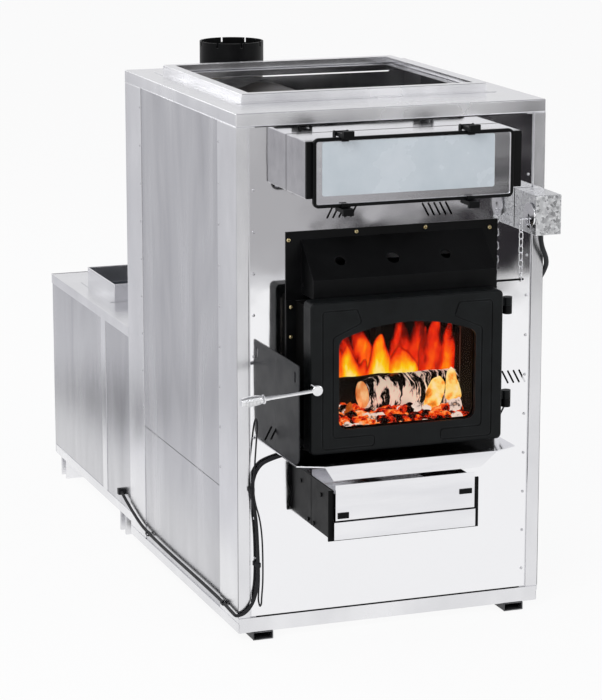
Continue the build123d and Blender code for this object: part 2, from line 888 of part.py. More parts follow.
# Ash box: black cheeks in front, a chute up to the grate behind, and a stand under it
cheek_y = front_y - ash_front
ash_top_in = firebox_zs[0]
cheek_bolts = ((16, 256), (64, 337))
runner_w = 20.0
with BuildPart() as ash_box:
    slab(ash_xs, (cheek_y, front_y + ash_back), up(ash_zs[0], ash_wall))
    for wall_x in (ash_xs[0], ash_xs[1] - ash_wall):
        slab(up(wall_x, ash_wall), (cheek_y, front_y + ash_back), up(ash_zs[0], cheek_h))
        slab(
            up(wall_x, ash_wall),
            (panel_back_y + cut_gap, front_y + ash_back),
            (ash_zs[0], ash_top_in),
        )
    slab(
        ash_xs,
        (front_y + ash_back - ash_wall, front_y + ash_back),
        (ash_zs[0], ash_top_in),
    )
    slab(
        ash_xs,
        up(panel_back_y + cut_gap, ash_wall),
        (ash_zs[1], ash_top_in),
    )
    for flange_x in (ash_xs[0] - cheek_flange, ash_xs[1]):
        slab(up(flange_x, cheek_flange), up(cheek_y, ash_wall), up(ash_zs[0], cheek_h))
    slab(ash_xs, across(front_y + ash_back - 100, ash_wall), (base_z + sheet, ash_zs[0]))
    for runner_x in (ash_xs[0] + ash_wall + 30, ash_xs[1] - ash_wall - 30):
        slab(
            across(runner_x, runner_w),
            (cheek_y, front_y + ash_back),
            up(ash_zs[0] + ash_wall, drawer_gap - soft_gap),
        )
    for wall_x, side in ((ash_xs[0], -1), (ash_xs[1], 1)):
        for bolt_y, bolt_z in cheek_bolts:
            centre = (wall_x + side * screw_h / 2, front_y - bolt_y, base_z + bolt_z)
            rod("X", centre, screw_r, screw_h)
    rod(
        "X",
        (mid_x + ash_x, front_y - flap_pivot_y, base_z + flap_pivot_z),
        flap_pin_r + hinge_play,
        2 * ash_w,
        Mode.SUBTRACT,
    )
save(ash_box, "ash_box")

# Clean-out box with clamp lugs above and below
hatch_front_y = front_y - hatch_reach
clamp_xs = [mid_x + clamp_x + side * clamp_spread for side in (-1, 1)]
pin_y = front_y - clamp_pin_y
upper_pin_z = hatch_zs[1] + clamp_lug_h
lower_pin_z = hatch_zs[0] - clamp_lug_low
lug_t = 4.0
lug_gap = 0.5
lug_r = 7.0
with BuildPart() as hatch_box:
    slab(hatch_xs, (hatch_front_y, header_ys[0]), hatch_zs)
    slab(
        (hatch_xs[0] + hatch_wall, hatch_xs[1] - hatch_wall),
        (hatch_front_y + hatch_wall, header_ys[0]),
        (hatch_zs[0] + hatch_wall, hatch_zs[1] - hatch_wall),
        Mode.SUBTRACT,
    )
    slab(
        (hatch_xs[0] + hatch_rim_w, hatch_xs[1] - hatch_rim_w),
        (hatch_front_y, hatch_front_y + hatch_wall),
        (hatch_zs[0] + hatch_rim_w, hatch_zs[1] - hatch_rim_w),
        Mode.SUBTRACT,
    )
    for x in clamp_xs:
        for ear in (-1, 1):
            ear_x = x + ear * (clamp_w / 2 + lug_gap + lug_t / 2)
            slab(across(ear_x, lug_t), across(pin_y, 2 * lug_r), (hatch_zs[1], upper_pin_z))
            slab(across(ear_x, lug_t), across(pin_y, 2 * lug_r), (lower_pin_z, hatch_zs[0]))
            rod("X", (ear_x, pin_y, upper_pin_z), lug_r, lug_t)
            rod("X", (ear_x, pin_y, lower_pin_z), lug_r, lug_t)
        for pin_z in (upper_pin_z, lower_pin_z):
            rod("X", (x, pin_y, pin_z), clamp_pin_r, clamp_w + 2 * (lug_gap + lug_t))
save(hatch_box, "hatch_box")

# Fixed halves of the two door hinges, with their pins
hinge_x = door_x + door_w / 2 + hinge_x_gap
axis_y = front_y - hinge_y_reach
half_knuckle = hinge_knuckle_h / 2
with BuildPart() as door_hinges:
    for hinge_z0 in hinge_heights:
        foot_z = base_z + hinge_z0
        rod("Z", (hinge_x, axis_y, foot_z + half_knuckle / 2), hinge_barrel_r, half_knuckle)
        rod("Z", (hinge_x, axis_y, foot_z + hinge_knuckle_h / 2), hinge_pin_r, hinge_knuckle_h)
        slab(
            across(hinge_x, hinge_arm_t),
            (axis_y, panel_y - surround_t),
            up(foot_z, half_knuckle),
        )
save(door_hinges, "door_hinges")

# Draft control: a sheet box, its motor, and the crank wheel that pulls the chain
control_xs = (right_x - control_inset - control_w, right_x - control_inset)
control_ys = (front_y - control_d, front_y)
control_zs = up(base_z + control_z0, control_h)
chain_x = control_xs[0] - chain_gap
chain_y = pivot_y - lever_arm * (1 + math.cos(math.radians(damper_rest))) / 2
wheel_xs = (control_xs[0] - wheel_gap - wheel_t, control_xs[0] - wheel_gap)
wheel_axis_y = chain_y - crank_r * (1 + math.cos(math.radians(crank_rest))) / 2
wheel_axis_z = base_z + wheel_z
with BuildPart() as control_box:
    slab(control_xs, control_ys, control_zs)
    slab(
        (control_xs[0] + control_wall, control_xs[1] - control_wall),
        (control_ys[0] + control_wall, control_ys[1]),
        (control_zs[0] + control_wall, control_zs[1] - control_wall),
        Mode.SUBTRACT,
    )
    rod(
        "X",
        (control_xs[0], wheel_axis_y, wheel_axis_z),
        wheel_shaft_r + 1,
        4 * control_wall,
        Mode.SUBTRACT,
    )
save(control_box, "control_box")

motor_face_x = control_xs[0] + control_wall + 3
with BuildPart() as draft_motor:
    slab(
        (motor_face_x, control_xs[1] - control_wall),
        across(wheel_axis_y + motor_shift, motor_d),
        across(wheel_axis_z, motor_h),
    )
    rod(
        "X",
        ((wheel_xs[0] + motor_face_x) / 2, wheel_axis_y, wheel_axis_z),
        wheel_shaft_r,
        motor_face_x - wheel_xs[0],
    )
save(draft_motor, "draft_motor")

# Return-air box: a floor tray, side sheets, a lid and a collar
tray_xs = (left_x + 2 * sheet, right_x - 2 * sheet)
tray_z = base_z + box_z0
lid_z = tray_z + box_h - sheet
rear_lip_y = end_y - 24.0
tray_lip_h = 25.0
foot_ys = (rear_y + 60, end_y - 110)
foot_len = 50.0
with BuildPart() as return_box_base:
    slab(tray_xs, (rear_y, rear_lip_y), up(tray_z, tray_lip_h))
    slab(
        (tray_xs[0] + sheet, tray_xs[1] - sheet),
        (rear_y + sheet, rear_lip_y - sheet),
        (tray_z + sheet, tray_z + tray_lip_h),
        Mode.SUBTRACT,
    )
    for foot_y in foot_ys:
        slab(tray_xs, up(foot_y, foot_len), (0, tray_z))
        slab(
            tray_xs,
            across(foot_y + foot_len / 2, foot_len - 4 * sheet),
            (0, tray_z - 2 * sheet),
            Mode.SUBTRACT,
        )
save(return_box_base, "return_box_base")

filter_y = rear_y + filter_from_rear
filter_zs = up(base_z + filter_z0, filter_h)
filter_x1 = right_x - 2 * sheet - 0.5
filter_xs = (filter_x1 - filter_w, filter_x1)
filter_ys = across(filter_y, filter_t)
slot_ys = across(filter_y, filter_t + 2 * filter_slot_gap)
slot_zs = (filter_zs[0] - filter_slot_gap, filter_zs[1] + filter_slot_gap)
box_seam_y = rear_y + box_seam_from_rear
seam_h = 6.0
leaf_from_tray = 90.0
leaf_from_lid = 130.0
hinge_leaf_z = (tray_z + leaf_from_tray, lid_z - leaf_from_lid)
half_w = cabinet_w / 2
rib_zs = (tray_z + tray_lip_h, lid_z)
service_axis = (left_x + 8.0, end_y - 5.0)
service_knuckle_h = 30.0
with BuildPart() as return_box_sides:
    for side in (-1, 1):
        outer_x = mid_x + side * (half_w - sheet)
        face = sorted((outer_x, mid_x + side * (half_w - 2 * sheet)))
        rib = sorted((outer_x, mid_x + side * (half_w - sheet - seam_h)))
        fold = sorted((outer_x, mid_x + side * (half_w - box_flange)))
        slab(face, (rear_y, box_seam_y - side_seam_gap / 2), (tray_z, lid_z))
        slab(face, (box_seam_y + side_seam_gap / 2, end_y - 6), (tray_z, lid_z))
        slab(rib, up(box_seam_y - side_seam_gap / 2 - sheet, sheet), rib_zs)
        slab(rib, up(box_seam_y + side_seam_gap / 2, sheet), rib_zs)
        slab(fold, up(rear_y, sheet), rib_zs)
        slab(fold, (rear_lip_y, rear_lip_y + sheet), (tray_z, lid_z))
    slab(
        (filter_x1 - 3 * sheet, right_x),
        slot_ys,
        slot_zs,
        Mode.SUBTRACT,
    )
    for leaf_z in hinge_leaf_z:
        knuckle = (*service_axis, leaf_z + service_knuckle_h / 4)
        pin = (*service_axis, leaf_z + service_knuckle_h / 2)
        rod("Z", knuckle, 2 * service_hinge_r - 3, service_knuckle_h / 2)
        rod("Z", pin, service_hinge_r - 1.5, service_knuckle_h)
        slab(
            (left_x + sheet, service_axis[0]),
            (service_axis[1] - 2, service_axis[1]),
            up(leaf_z, service_knuckle_h / 2),
        )
save(return_box_sides, "return_box_sides")

collar_xs = across(mid_x, return_collar_w)
collar_ys = up(rear_y + return_collar_y0, return_collar_d)
with BuildPart() as return_box_lid:
    slab((left_x, right_x), (rear_y, end_y - 6), (tray_z + box_h - box_lip_h, tray_z + box_h))
    slab(
        (left_x + sheet, right_x - sheet),
        (rear_y, end_y - 6),
        (tray_z + box_h - box_lip_h, lid_z),
        Mode.SUBTRACT,
    )
    slab(
        (collar_xs[0] + sheet, collar_xs[1] - sheet),
        (collar_ys[0] + sheet, collar_ys[1] - sheet),
        (lid_z, lid_z + sheet),
        Mode.SUBTRACT,
    )
save(return_box_lid, "return_box_lid")

lid_top_z = lid_z + sheet
with BuildPart() as return_collar:
    slab(
        (collar_xs[0] - return_flange, collar_xs[1] + return_flange),
        (collar_ys[0] - return_flange, collar_ys[1] + return_flange),
        up(lid_top_z, sheet),
    )
    slab(collar_xs, collar_ys, up(lid_top_z, return_collar_h))
    slab(
        (collar_xs[0] + sheet, collar_xs[1] - sheet),
        (collar_ys[0] + sheet, collar_ys[1] - sheet),
        up(lid_top_z, return_collar_h),
        Mode.SUBTRACT,
    )
save(return_collar, "return_collar")

# Blower: a scroll housing with two inlets, blowing forward into the cabinet
house_xs = across(mid_x, housing_w)
outlet_y = rear_panel_y
with BuildPart() as blower_housing:
    for inset, mode in ((0, Mode.ADD), (sheet, Mode.SUBTRACT)):
        with BuildSketch(Plane.YZ.offset(house_xs[0] + inset)):
            with Locations((scroll_y, scroll_z)):
                Circle(scroll_r - inset)
            with Locations(((outlet_y + scroll_y) / 2, (outlet_zs[0] + outlet_zs[1]) / 2)):
                Rectangle(scroll_y - outlet_y, outlet_h - 2 * inset)
        extrude(amount=housing_w - 2 * inset, mode=mode)
    rod("X", (mid_x, scroll_y, scroll_z), inlet_r, 2 * housing_w, Mode.SUBTRACT)
    for foot_x in (house_xs[0] - 20, house_xs[1]):
        slab(up(foot_x, 20), across(scroll_y, 60), (tray_z + sheet, tray_z + 2 * sheet))
    for foot_x in (house_xs[0], house_xs[1] - sheet):
        slab(up(foot_x, sheet), across(scroll_y, 60), (tray_z + sheet, scroll_z - scroll_r + 10))
save(blower_housing, "blower_housing")

motor_x0 = house_xs[0] - 30
motor_x1 = motor_x0 + motor_len
disc_x = mid_x + 6
disc_t = 3.0
hub_r = 18.0
hub_len = 24.0
with BuildPart() as blower_motor:
    rod("X", ((motor_x0 + motor_x1) / 2, scroll_y, scroll_z), motor_r, motor_len)
    shaft_x1 = disc_x + hub_len / 2 + 6
    rod("X", ((motor_x1 + shaft_x1) / 2, scroll_y, scroll_z), shaft_r, shaft_x1 - motor_x1)
    with BuildSketch(Plane.YZ.offset(house_xs[0] - bracket_t)):
        with Locations((scroll_y, scroll_z)):
            with PolarLocations((inlet_r + 14 + motor_r) / 2 - 2, 3, start_angle=90):
                Rectangle(inlet_r + 14 - motor_r + 4, bracket_arm_w)
    extrude(amount=bracket_t)
save(blower_motor, "blower_motor")

with BuildPart() as blower_wheel:
    rod("X", (disc_x, scroll_y, scroll_z), rotor_r - 1, disc_t)
    rod("X", (disc_x, scroll_y, scroll_z), hub_r, hub_len)
    for ring_x in (mid_x - rotor_w / 2, mid_x + rotor_w / 2):
        with BuildSketch(Plane.YZ.offset(ring_x - disc_t / 2)):
            with Locations((scroll_y, scroll_z)):
                Circle(rotor_r)
                Circle(rotor_r - blade_depth, mode=Mode.SUBTRACT)
        extrude(amount=disc_t)
    with BuildSketch(Plane.YZ.offset(mid_x - rotor_w / 2)):
        with Locations((scroll_y, scroll_z)):
            with PolarLocations(rotor_r - blade_depth / 2 - 1, blade_count):
                Rectangle(blade_depth - 3, blade_t, rotation=25)
    extrude(amount=rotor_w)
    rod("X", (disc_x, scroll_y, scroll_z), shaft_r + shaft_play, 2 * hub_len, Mode.SUBTRACT)
save(blower_wheel, "blower_wheel")

# Air filter on rails: it slides out through the right side
rail_t = 1.5
rail_gap = 0.5
rail_h = 12.0
rail_xs = (left_x + 3 * sheet, right_x - 3 * sheet)
with BuildPart() as filter_rails:
    for rail_z, grow in ((filter_zs[0] - rail_gap, -1), (filter_zs[1] + rail_gap, 1)):
        web = sorted((rail_z, rail_z + grow * rail_t))
        leg = sorted((rail_z + grow * rail_t, rail_z - grow * rail_h))
        outer_ys = across(filter_y, filter_t + 2 * (rail_gap + rail_t))
        slab(rail_xs, outer_ys, web)
        slab(rail_xs, up(outer_ys[0], rail_t), leg)
        slab(rail_xs, (outer_ys[1] - rail_t, outer_ys[1]), leg)
    slab(rail_xs, across(filter_y, rail_t), (filter_zs[1] + rail_gap + rail_t, lid_z))
    slab(rail_xs, across(filter_y, rail_t), (tray_z + sheet, filter_zs[0] - rail_gap - rail_t))
    slab(
        (rail_xs[0], filter_xs[0] - 1),
        across(filter_y, rail_t),
        (filter_zs[0] - rail_gap, filter_zs[1] + rail_gap),
    )
save(filter_rails, "filter_rails")

cap_zs = (slot_zs[0] - 2, slot_zs[1] + 2)
with BuildPart() as filter_frame:
    slab(filter_xs, filter_ys, filter_zs)
    slab(
        (filter_xs[0] + filter_frame_w, filter_xs[1] - filter_frame_w),
        filter_ys,
        (filter_zs[0] + filter_frame_w, filter_zs[1] - filter_frame_w),
        Mode.SUBTRACT,
    )
    slab((filter_x1, right_x - sheet), across(filter_y, filter_t - 4), (filter_zs[0] + 2, filter_zs[1] - 2))
    slab((right_x - sheet, right_x), across(filter_y, filter_cap_w), cap_zs)
save(filter_frame, "filter_frame")

with BuildPart() as filter_media:
    slab(
        (filter_xs[0] + filter_frame_w + soft_gap, filter_xs[1] - filter_frame_w - soft_gap),
        across(filter_y, filter_t - 5),
        (filter_zs[0] + filter_frame_w + soft_gap, filter_zs[1] - filter_frame_w - soft_gap),
    )
save(filter_media, "filter_media")

# Service door at the back of the return-air box
service_xs = (service_axis[0] + 6, right_x - 2 * sheet - door_gap)
service_zs = (tray_z + door_gap, lid_z - door_gap)
service_back_y = end_y - 5.0
service_return = 15.0
service_knob_r = 9.0
with BuildPart() as service_door:
    slab(service_xs, (service_back_y - service_return, service_back_y), service_zs)
    slab(
        (service_xs[0] + sheet, service_xs[1] - sheet),
        (service_back_y - service_return, service_back_y - sheet),
        (service_zs[0] + sheet, service_zs[1] - sheet),
        Mode.SUBTRACT,
    )
    for leaf_z in hinge_leaf_z:
        top = leaf_z + service_knuckle_h
        slab(
            (service_axis[0], service_xs[0] + 12),
            (service_axis[1] - 1, service_axis[1] + 1),
            (leaf_z + service_knuckle_h / 2 + hinge_play, top),
        )
        rod(
            "Z",
            (*service_axis, leaf_z + service_knuckle_h * 0.75 + hinge_play / 2),
            2 * service_hinge_r - 3,
            service_knuckle_h / 2 - hinge_play,
        )
        rod(
            "Z",
            (*service_axis, leaf_z + service_knuckle_h * 0.75),
            service_hinge_r - 1.5 + hinge_play,
            service_knuckle_h / 2 + 2,
            Mode.SUBTRACT,
        )
    for knob_z in (service_zs[0] + 60, service_zs[1] - 60):
        rod("Y", (service_xs[1] - 20, service_back_y + 2, knob_z), service_knob_r, 6)
save(service_door, "service_door")

# Loading door: a cast plate with a deep rim, an arched window and grooves on its face
door_xs = across(door_x, door_w)
door_zs = up(base_z + door_z0, door_h)
door_back_y = front_y - door_back
door_face_y = door_back_y - door_t
plate_back_y = door_face_y + door_plate_t
gasket_y = throat_front_y - soft_gap - gasket_r
gasket_w = throat_w - throat_wall
gasket_h = throat_h - throat_wall
gasket_z = (throat_zs[0] + throat_zs[1]) / 2
groove_half = 2 * (gasket_r + soft_gap)
stud_x = door_xs[0] + handle_inset
stud_z = base_z + handle_z


def window_face(grow):
    """The arched window's outline, grown outward by the given amount."""
    with BuildSketch(Plane.XY) as outline:
        with BuildLine():
            Polyline(
                (-window_w / 2, window_spring - window_sill),
                (-window_w / 2, 0),
                (window_w / 2, 0),
                (window_w / 2, window_spring - window_sill),
            )
            ThreePointArc(
                (-window_w / 2, window_spring - window_sill),
                (0, window_crown - window_sill),
                (window_w / 2, window_spring - window_sill),
            )
        make_face()
        fillet(outline.vertices(), window_corner_r)
        if grow:
            offset(amount=grow)
    return outline.sketch


groove_points = (
    (-81.5, 464), (-207.5, 464), (-207.5, 783), (-124.5, 784),
    (-113.5, 752), (-182.5, 722), (-182.5, 489), (-81.5, 489),
)
with BuildPart() as door_casting:
    slab(door_xs, (door_face_y, door_back_y), door_zs)
    corner_edges = door_casting.edges().filter_by(Axis.Y)
    fillet(corner_edges, 2 * door_edge_r)
    fillet(door_casting.faces().sort_by(Axis.Y)[0].edges(), door_edge_r)
    slab(
        (door_xs[0] + door_rim_w, door_xs[1] - door_rim_w),
        (plate_back_y, door_back_y),
        (door_zs[0] + door_rim_w, door_zs[1] - door_rim_w),
        Mode.SUBTRACT,
    )
    with BuildSketch(facing(plate_back_y)):
        with Locations((door_x, base_z + window_sill)):
            add(window_face(0))
    extrude(amount=2 * door_plate_t, both=True, mode=Mode.SUBTRACT)
    with BuildSketch(facing(door_face_y)):
        for side in (1, -1):
            with BuildLine():
                FilletPolyline(
                    *[(door_x + side * x, base_z + z) for x, z in groove_points],
                    radius=8,
                    close=True,
                )
            trace(line_width=groove_w)
    extrude(amount=-groove_depth, mode=Mode.SUBTRACT)
    with BuildSketch(facing(door_back_y)):
        with Locations((door_x, gasket_z)):
            RectangleRounded(
                gasket_w + groove_half, gasket_h + groove_half, gasket_corner_r + gasket_r
            )
            RectangleRounded(
                gasket_w - groove_half,
                gasket_h - groove_half,
                gasket_corner_r - gasket_r,
                mode=Mode.SUBTRACT,
            )
    extrude(amount=door_back_y - gasket_y + gasket_r + soft_gap, mode=Mode.SUBTRACT)
    for hinge_z0 in hinge_heights:
        foot_z = base_z + hinge_z0 + half_knuckle + 0.5
        knuckle_h = half_knuckle - 0.5
        slab((door_xs[1] - 5, hinge_x), across(axis_y, hinge_arm_t), up(foot_z, knuckle_h))
        rod("Z", (hinge_x, axis_y, foot_z + knuckle_h / 2), hinge_barrel_r, knuckle_h)
        rod(
            "Z",
            (hinge_x, axis_y, foot_z + knuckle_h / 2),
            hinge_pin_r + hinge_play,
            2 * knuckle_h,
            Mode.SUBTRACT,
        )
    rod(
        "Y",
        (stud_x, door_face_y, stud_z),
        handle_rod_r + hinge_play,
        2 * handle_stud_len + 1,
        Mode.SUBTRACT,
    )
save(door_casting, "door_casting")

with BuildPart() as door_glass:
    with BuildSketch(facing(plate_back_y + soft_gap + glass_t)):
        with Locations((door_x, base_z + window_sill)):
            add(window_face(glass_lap))
    extrude(amount=glass_t)
save(door_glass, "door_glass")

with BuildPart() as glass_retainer:
    with BuildSketch(facing(plate_back_y + 2 * soft_gap + glass_t + retainer_t)):
        with Locations((door_x, base_z + window_sill)):
            add(window_face(glass_lap + 2))
            add(window_face(glass_lap + 2 - retainer_w), mode=Mode.SUBTRACT)
    extrude(amount=retainer_t)
    for screw_x in (-window_w / 2 + 30, 0, window_w / 2 - 30):
        centre_y = plate_back_y + 2 * soft_gap + glass_t + retainer_t + screw_h / 2
        rod("Y", (door_x + screw_x, centre_y, base_z + window_sill - 6), screw_r - 1, screw_h)
save(glass_retainer, "glass_retainer")

# Rope gasket in the door's groove
with BuildPart() as door_gasket:
    with BuildLine(facing(gasket_y)) as gasket_path:
        FilletPolyline(
            (door_x - gasket_w / 2, gasket_z - gasket_h / 2),
            (door_x + gasket_w / 2, gasket_z - gasket_h / 2),
            (door_x + gasket_w / 2, gasket_z + gasket_h / 2),
            (door_x - gasket_w / 2, gasket_z + gasket_h / 2),
            radius=gasket_corner_r,
            close=True,
        )
    gasket_wire = gasket_path.wires()[0]
    with BuildSketch(Plane(gasket_wire @ 0, z_dir=gasket_wire % 0)):
        Circle(gasket_r)
    sweep(path=gasket_wire)
save(door_gasket, "door_gasket")
print(f"door_gasket tube radius {gasket_r} mm")

# Door handle: a hub on a stud, a rod dipping to the left, a core and its spring grip
lever_y = front_y - latch_plate_reach - lever_clear - handle_rod_r
dip = math.radians(handle_dip)
lever_dir = Vector(-math.cos(dip), 0, -math.sin(dip))
lever_total = (stud_x - (left_x - grip_overhang)) / math.cos(dip)
lever_root = Vector(stud_x, lever_y, stud_z)
lever_tip = lever_root + lever_dir * lever_total
grip_root = lever_tip - lever_dir * grip_len
grip_core_r = grip_coil_r - grip_wire / 2 - soft_gap
hub_face_y = door_face_y - handle_gap


def lever_plane(start):
    """A plane across the lever at a point along it, facing the grip's end."""
    return Plane(start, x_dir=(0, 1, 0), z_dir=lever_dir)


with BuildPart() as handle_lever:
    rod("Y", (stud_x, hub_face_y - handle_hub_len / 2, stud_z), handle_hub_r, handle_hub_len)
    fillet(handle_lever.faces().sort_by(Axis.Y)[0].edges(), handle_hub_r / 4)
    rod(
        "Y",
        (stud_x, hub_face_y + handle_stud_len / 2 - 1, stud_z),
        handle_rod_r,
        handle_stud_len + 2,
    )
    with BuildSketch(lever_plane(lever_root)):
        Circle(handle_rod_r)
    extrude(amount=lever_total - 4)
    with BuildSketch(lever_plane(grip_root)):
        Circle(grip_core_r)
    extrude(amount=grip_len - 2)
    with BuildSketch(lever_plane(grip_root - lever_dir * 5)):
        Circle(grip_coil_r)
    extrude(amount=4)
save(handle_lever, "handle_lever")

coil_len = grip_len - grip_wire - 1
with BuildPart() as handle_spring:
    with BuildLine() as coil_path:
        Helix(
            pitch=grip_pitch,
            height=coil_len,
            radius=grip_coil_r,
            center=grip_root + lever_dir * (grip_wire / 2 + 0.5),
            direction=lever_dir,
        )
    coil = coil_path.edges()[0]
    with BuildSketch(Plane(coil @ 0, z_dir=coil % 0)):
        Circle(grip_wire / 2)
    sweep(path=coil)
save(handle_spring, "handle_spring")
coil_points = []
point_count = 600
for index in range(point_count + 1):
    turn = index / point_count * coil_len / grip_pitch
    angle = 2 * math.pi * turn
    coil_points.append(
        (grip_coil_r * math.cos(angle), grip_coil_r * math.sin(angle), grip_pitch * turn)
    )
half_turn = int(point_count * grip_pitch / coil_len / 2)
coil_gap = min(
    math.dist(coil_points[i], coil_points[j])
    for i in range(0, point_count - half_turn, 7)
    for j in range(i + half_turn, min(i + 4 * half_turn, point_count))
) - grip_wire
print(f"handle_spring tube radius {grip_wire / 2} mm, least gap to itself {coil_gap:.2f} mm")

# Ash flap: a cover hung between the cheeks, with two finger tabs
flap_zs = (ash_zs[1] - flap_h + flap_gap, ash_zs[1])
flap_face_y = front_y - ash_front - 10
flap_xs = (ash_xs[0] + ash_wall + cut_gap, ash_xs[1] - ash_wall - cut_gap)
flap_axis_y = front_y - flap_pivot_y
flap_axis_z = base_z + flap_pivot_z
flap_ear = 12.0
flap_tabs = ((5, 32, 301, 315), (-38, -7, 331, 343))
with BuildPart() as ash_flap:
    slab(flap_xs, up(flap_face_y, flap_t), flap_zs)
    for arm_x in (flap_xs[0], flap_xs[1] - flap_arm_t):
        slab(
            up(arm_x, flap_arm_t),
            (flap_face_y, flap_axis_y),
            across(flap_axis_z, 2 * flap_ear),
        )
        rod("X", (arm_x + flap_arm_t / 2, flap_axis_y, flap_axis_z), flap_ear, flap_arm_t)
    for pin_x in (ash_xs[0], ash_xs[1] - ash_wall - cut_gap):
        rod(
            "X",
            (pin_x + (ash_wall + cut_gap) / 2, flap_axis_y, flap_axis_z),
            flap_pin_r,
            ash_wall + cut_gap,
        )
    for tab_x0, tab_x1, tab_z0, tab_z1 in flap_tabs:
        tab_side = flap_xs[0] if tab_x0 > 0 else flap_xs[1]
        slab(
            (tab_side + tab_x0, tab_side + tab_x1),
            (flap_face_y - flap_t, flap_face_y),
            (base_z + tab_z0, base_z + tab_z1),
        )
save(ash_flap, "ash_flap")

# Ash drawer under the flap
drawer_xs = (ash_xs[0] + ash_wall + drawer_gap, ash_xs[1] - ash_wall - drawer_gap)
drawer_zs = up(ash_zs[0] + ash_wall + drawer_gap, drawer_h)
drawer_ys = up(flap_face_y, drawer_len)
with BuildPart() as ash_drawer:
    slab(drawer_xs, drawer_ys, drawer_zs)
    slab(
        (drawer_xs[0] + drawer_front_t, drawer_xs[1] - drawer_front_t),
        (drawer_ys[0] + drawer_front_t, drawer_ys[1] - drawer_front_t),
        (drawer_zs[0] + drawer_front_t, drawer_zs[1]),
        Mode.SUBTRACT,
    )
    slab(
        (ash_xs[0] + 0.5, ash_xs[1] - 0.5),
        up(drawer_ys[0], drawer_front_t),
        drawer_zs,
    )
save(ash_drawer, "ash_drawer")

# Crank wheel: a disc on the motor's shaft with one pin for the chain
pin_turn = math.radians(-crank_rest)
crank_pin_y = wheel_axis_y + crank_r * math.cos(pin_turn)
crank_pin_z = wheel_axis_z + crank_r * math.sin(pin_turn)
with BuildPart() as chain_wheel:
    rod("X", (sum(wheel_xs) / 2, wheel_axis_y, wheel_axis_z), wheel_r, wheel_t)
    rod(
        "X",
        (sum(wheel_xs) / 2, wheel_axis_y, wheel_axis_z),
        wheel_shaft_r + hinge_play / 2,
        2 * wheel_t,
        Mode.SUBTRACT,
    )
    rod(
        "X",
        (wheel_xs[0] - crank_pin_len / 2 + 1, crank_pin_y, crank_pin_z),
        crank_pin_r,
        crank_pin_len,
    )
save(chain_wheel, "chain_wheel")

# Damper flap inside the hood, with its pins and the lever that the chain lifts
plate_dir = math.radians(180 + damper_rest)
lever_yz = (
    pivot_y + lever_arm * math.cos(plate_dir),
    pivot_z + lever_arm * math.sin(plate_dir),
)
damper_xs = (hood_xs[0] + hood_wall + damper_side_gap, hood_xs[1] - hood_wall - damper_side_gap)
lever_x1 = chain_x + 8.0
with BuildPart() as damper_flap:
    with BuildSketch(Plane.YZ.offset(damper_xs[0])):
        with Locations((pivot_y, pivot_z)):
            with Locations(
                (damper_len / 2 * math.cos(plate_dir), damper_len / 2 * math.sin(plate_dir))
            ):
                Rectangle(damper_len, damper_t, rotation=damper_rest)
    extrude(amount=damper_xs[1] - damper_xs[0])
    rod("X", (mid_x, pivot_y, pivot_z), damper_pin_r, hood_w + 4)
    rod("X", ((damper_xs[1] - 20 + lever_x1) / 2, *lever_yz), lever_r, lever_x1 - damper_xs[1] + 20)
save(damper_flap, "damper_flap")

# Lift chain: links alternating by a quarter turn between the crank pin and the lever
chain_drop = crank_pin_z - lever_yz[1]
chain_run = chain_drop + crank_pin_r + lever_r + 2 * chain_pin_play
link_len = (chain_run + (chain_links - 1) * chain_play) / chain_links
link_half = (chain_inner_w + chain_wire) / 2
with BuildPart() as draft_chain:
    for index in range(chain_links):
        link_top = crank_pin_z + crank_pin_r + chain_pin_play - index * (link_len - chain_play)
        flat = Plane.YZ if index % 2 == 0 else Plane.XZ
        middle = Vector(chain_x, chain_y, link_top - link_len / 2)
        straight = (link_len + chain_wire) / 2 - link_half
        with BuildLine(Plane(middle, x_dir=flat.x_dir, z_dir=flat.z_dir)) as link_path:
            Line((-link_half, -straight), (-link_half, straight))
            RadiusArc((-link_half, straight), (link_half, straight), link_half)
            Line((link_half, straight), (link_half, -straight))
            RadiusArc((link_half, -straight), (-link_half, -straight), link_half)
        link_wire = link_path.wires()[0]
        with BuildSketch(Plane(link_wire @ 0, z_dir=link_wire % 0)):
            Circle(chain_wire / 2)
        sweep(path=link_wire)
save(draft_chain, "draft_chain")

# Clean-out cover with its keeper blocks, and the pale plate on its face
cover_xs = across(mid_x + cover_x, cover_w)
cover_zs = up(base_z + cover_z0, cover_h)
cover_back_y = hatch_front_y
cover_face_y = cover_back_y - cover_t
keeper_w = 16.0
cover_dish = 4.0
cover_border = 8.0
with BuildPart() as hatch_cover:
    with BuildSketch(facing(cover_back_y)):
        with Locations((mid_x + cover_x, (cover_zs[0] + cover_zs[1]) / 2)):
            RectangleRounded(cover_w, cover_h, cover_corner_r)
    extrude(amount=cover_t)
    with BuildSketch(facing(cover_face_y)):
        with Locations((mid_x + cover_x, (cover_zs[0] + cover_zs[1]) / 2)):
            RectangleRounded(
                cover_w - 2 * cover_border, cover_h - 2 * cover_border, cover_corner_r / 3
            )
    extrude(amount=-cover_dish, mode=Mode.SUBTRACT)
    for x in clamp_xs:
        for keeper_z in (cover_zs[0], cover_zs[1] - keeper_h):
            slab(
                across(x, keeper_w),
                (cover_face_y - keeper_t, cover_face_y),
                up(keeper_z, keeper_h),
            )
save(hatch_cover, "hatch_cover")

with BuildPart() as badge_plate:
    with BuildSketch(facing(cover_face_y + cover_dish)):
        with Locations((mid_x + badge_x, (cover_zs[0] + cover_zs[1]) / 2 + badge_rise)):
            RectangleRounded(badge_w, badge_h, cover_corner_r / 3)
    extrude(amount=badge_t)
save(badge_plate, "badge_plate")

# Four clamps over the cover's edges
clamp_gap = 1.0


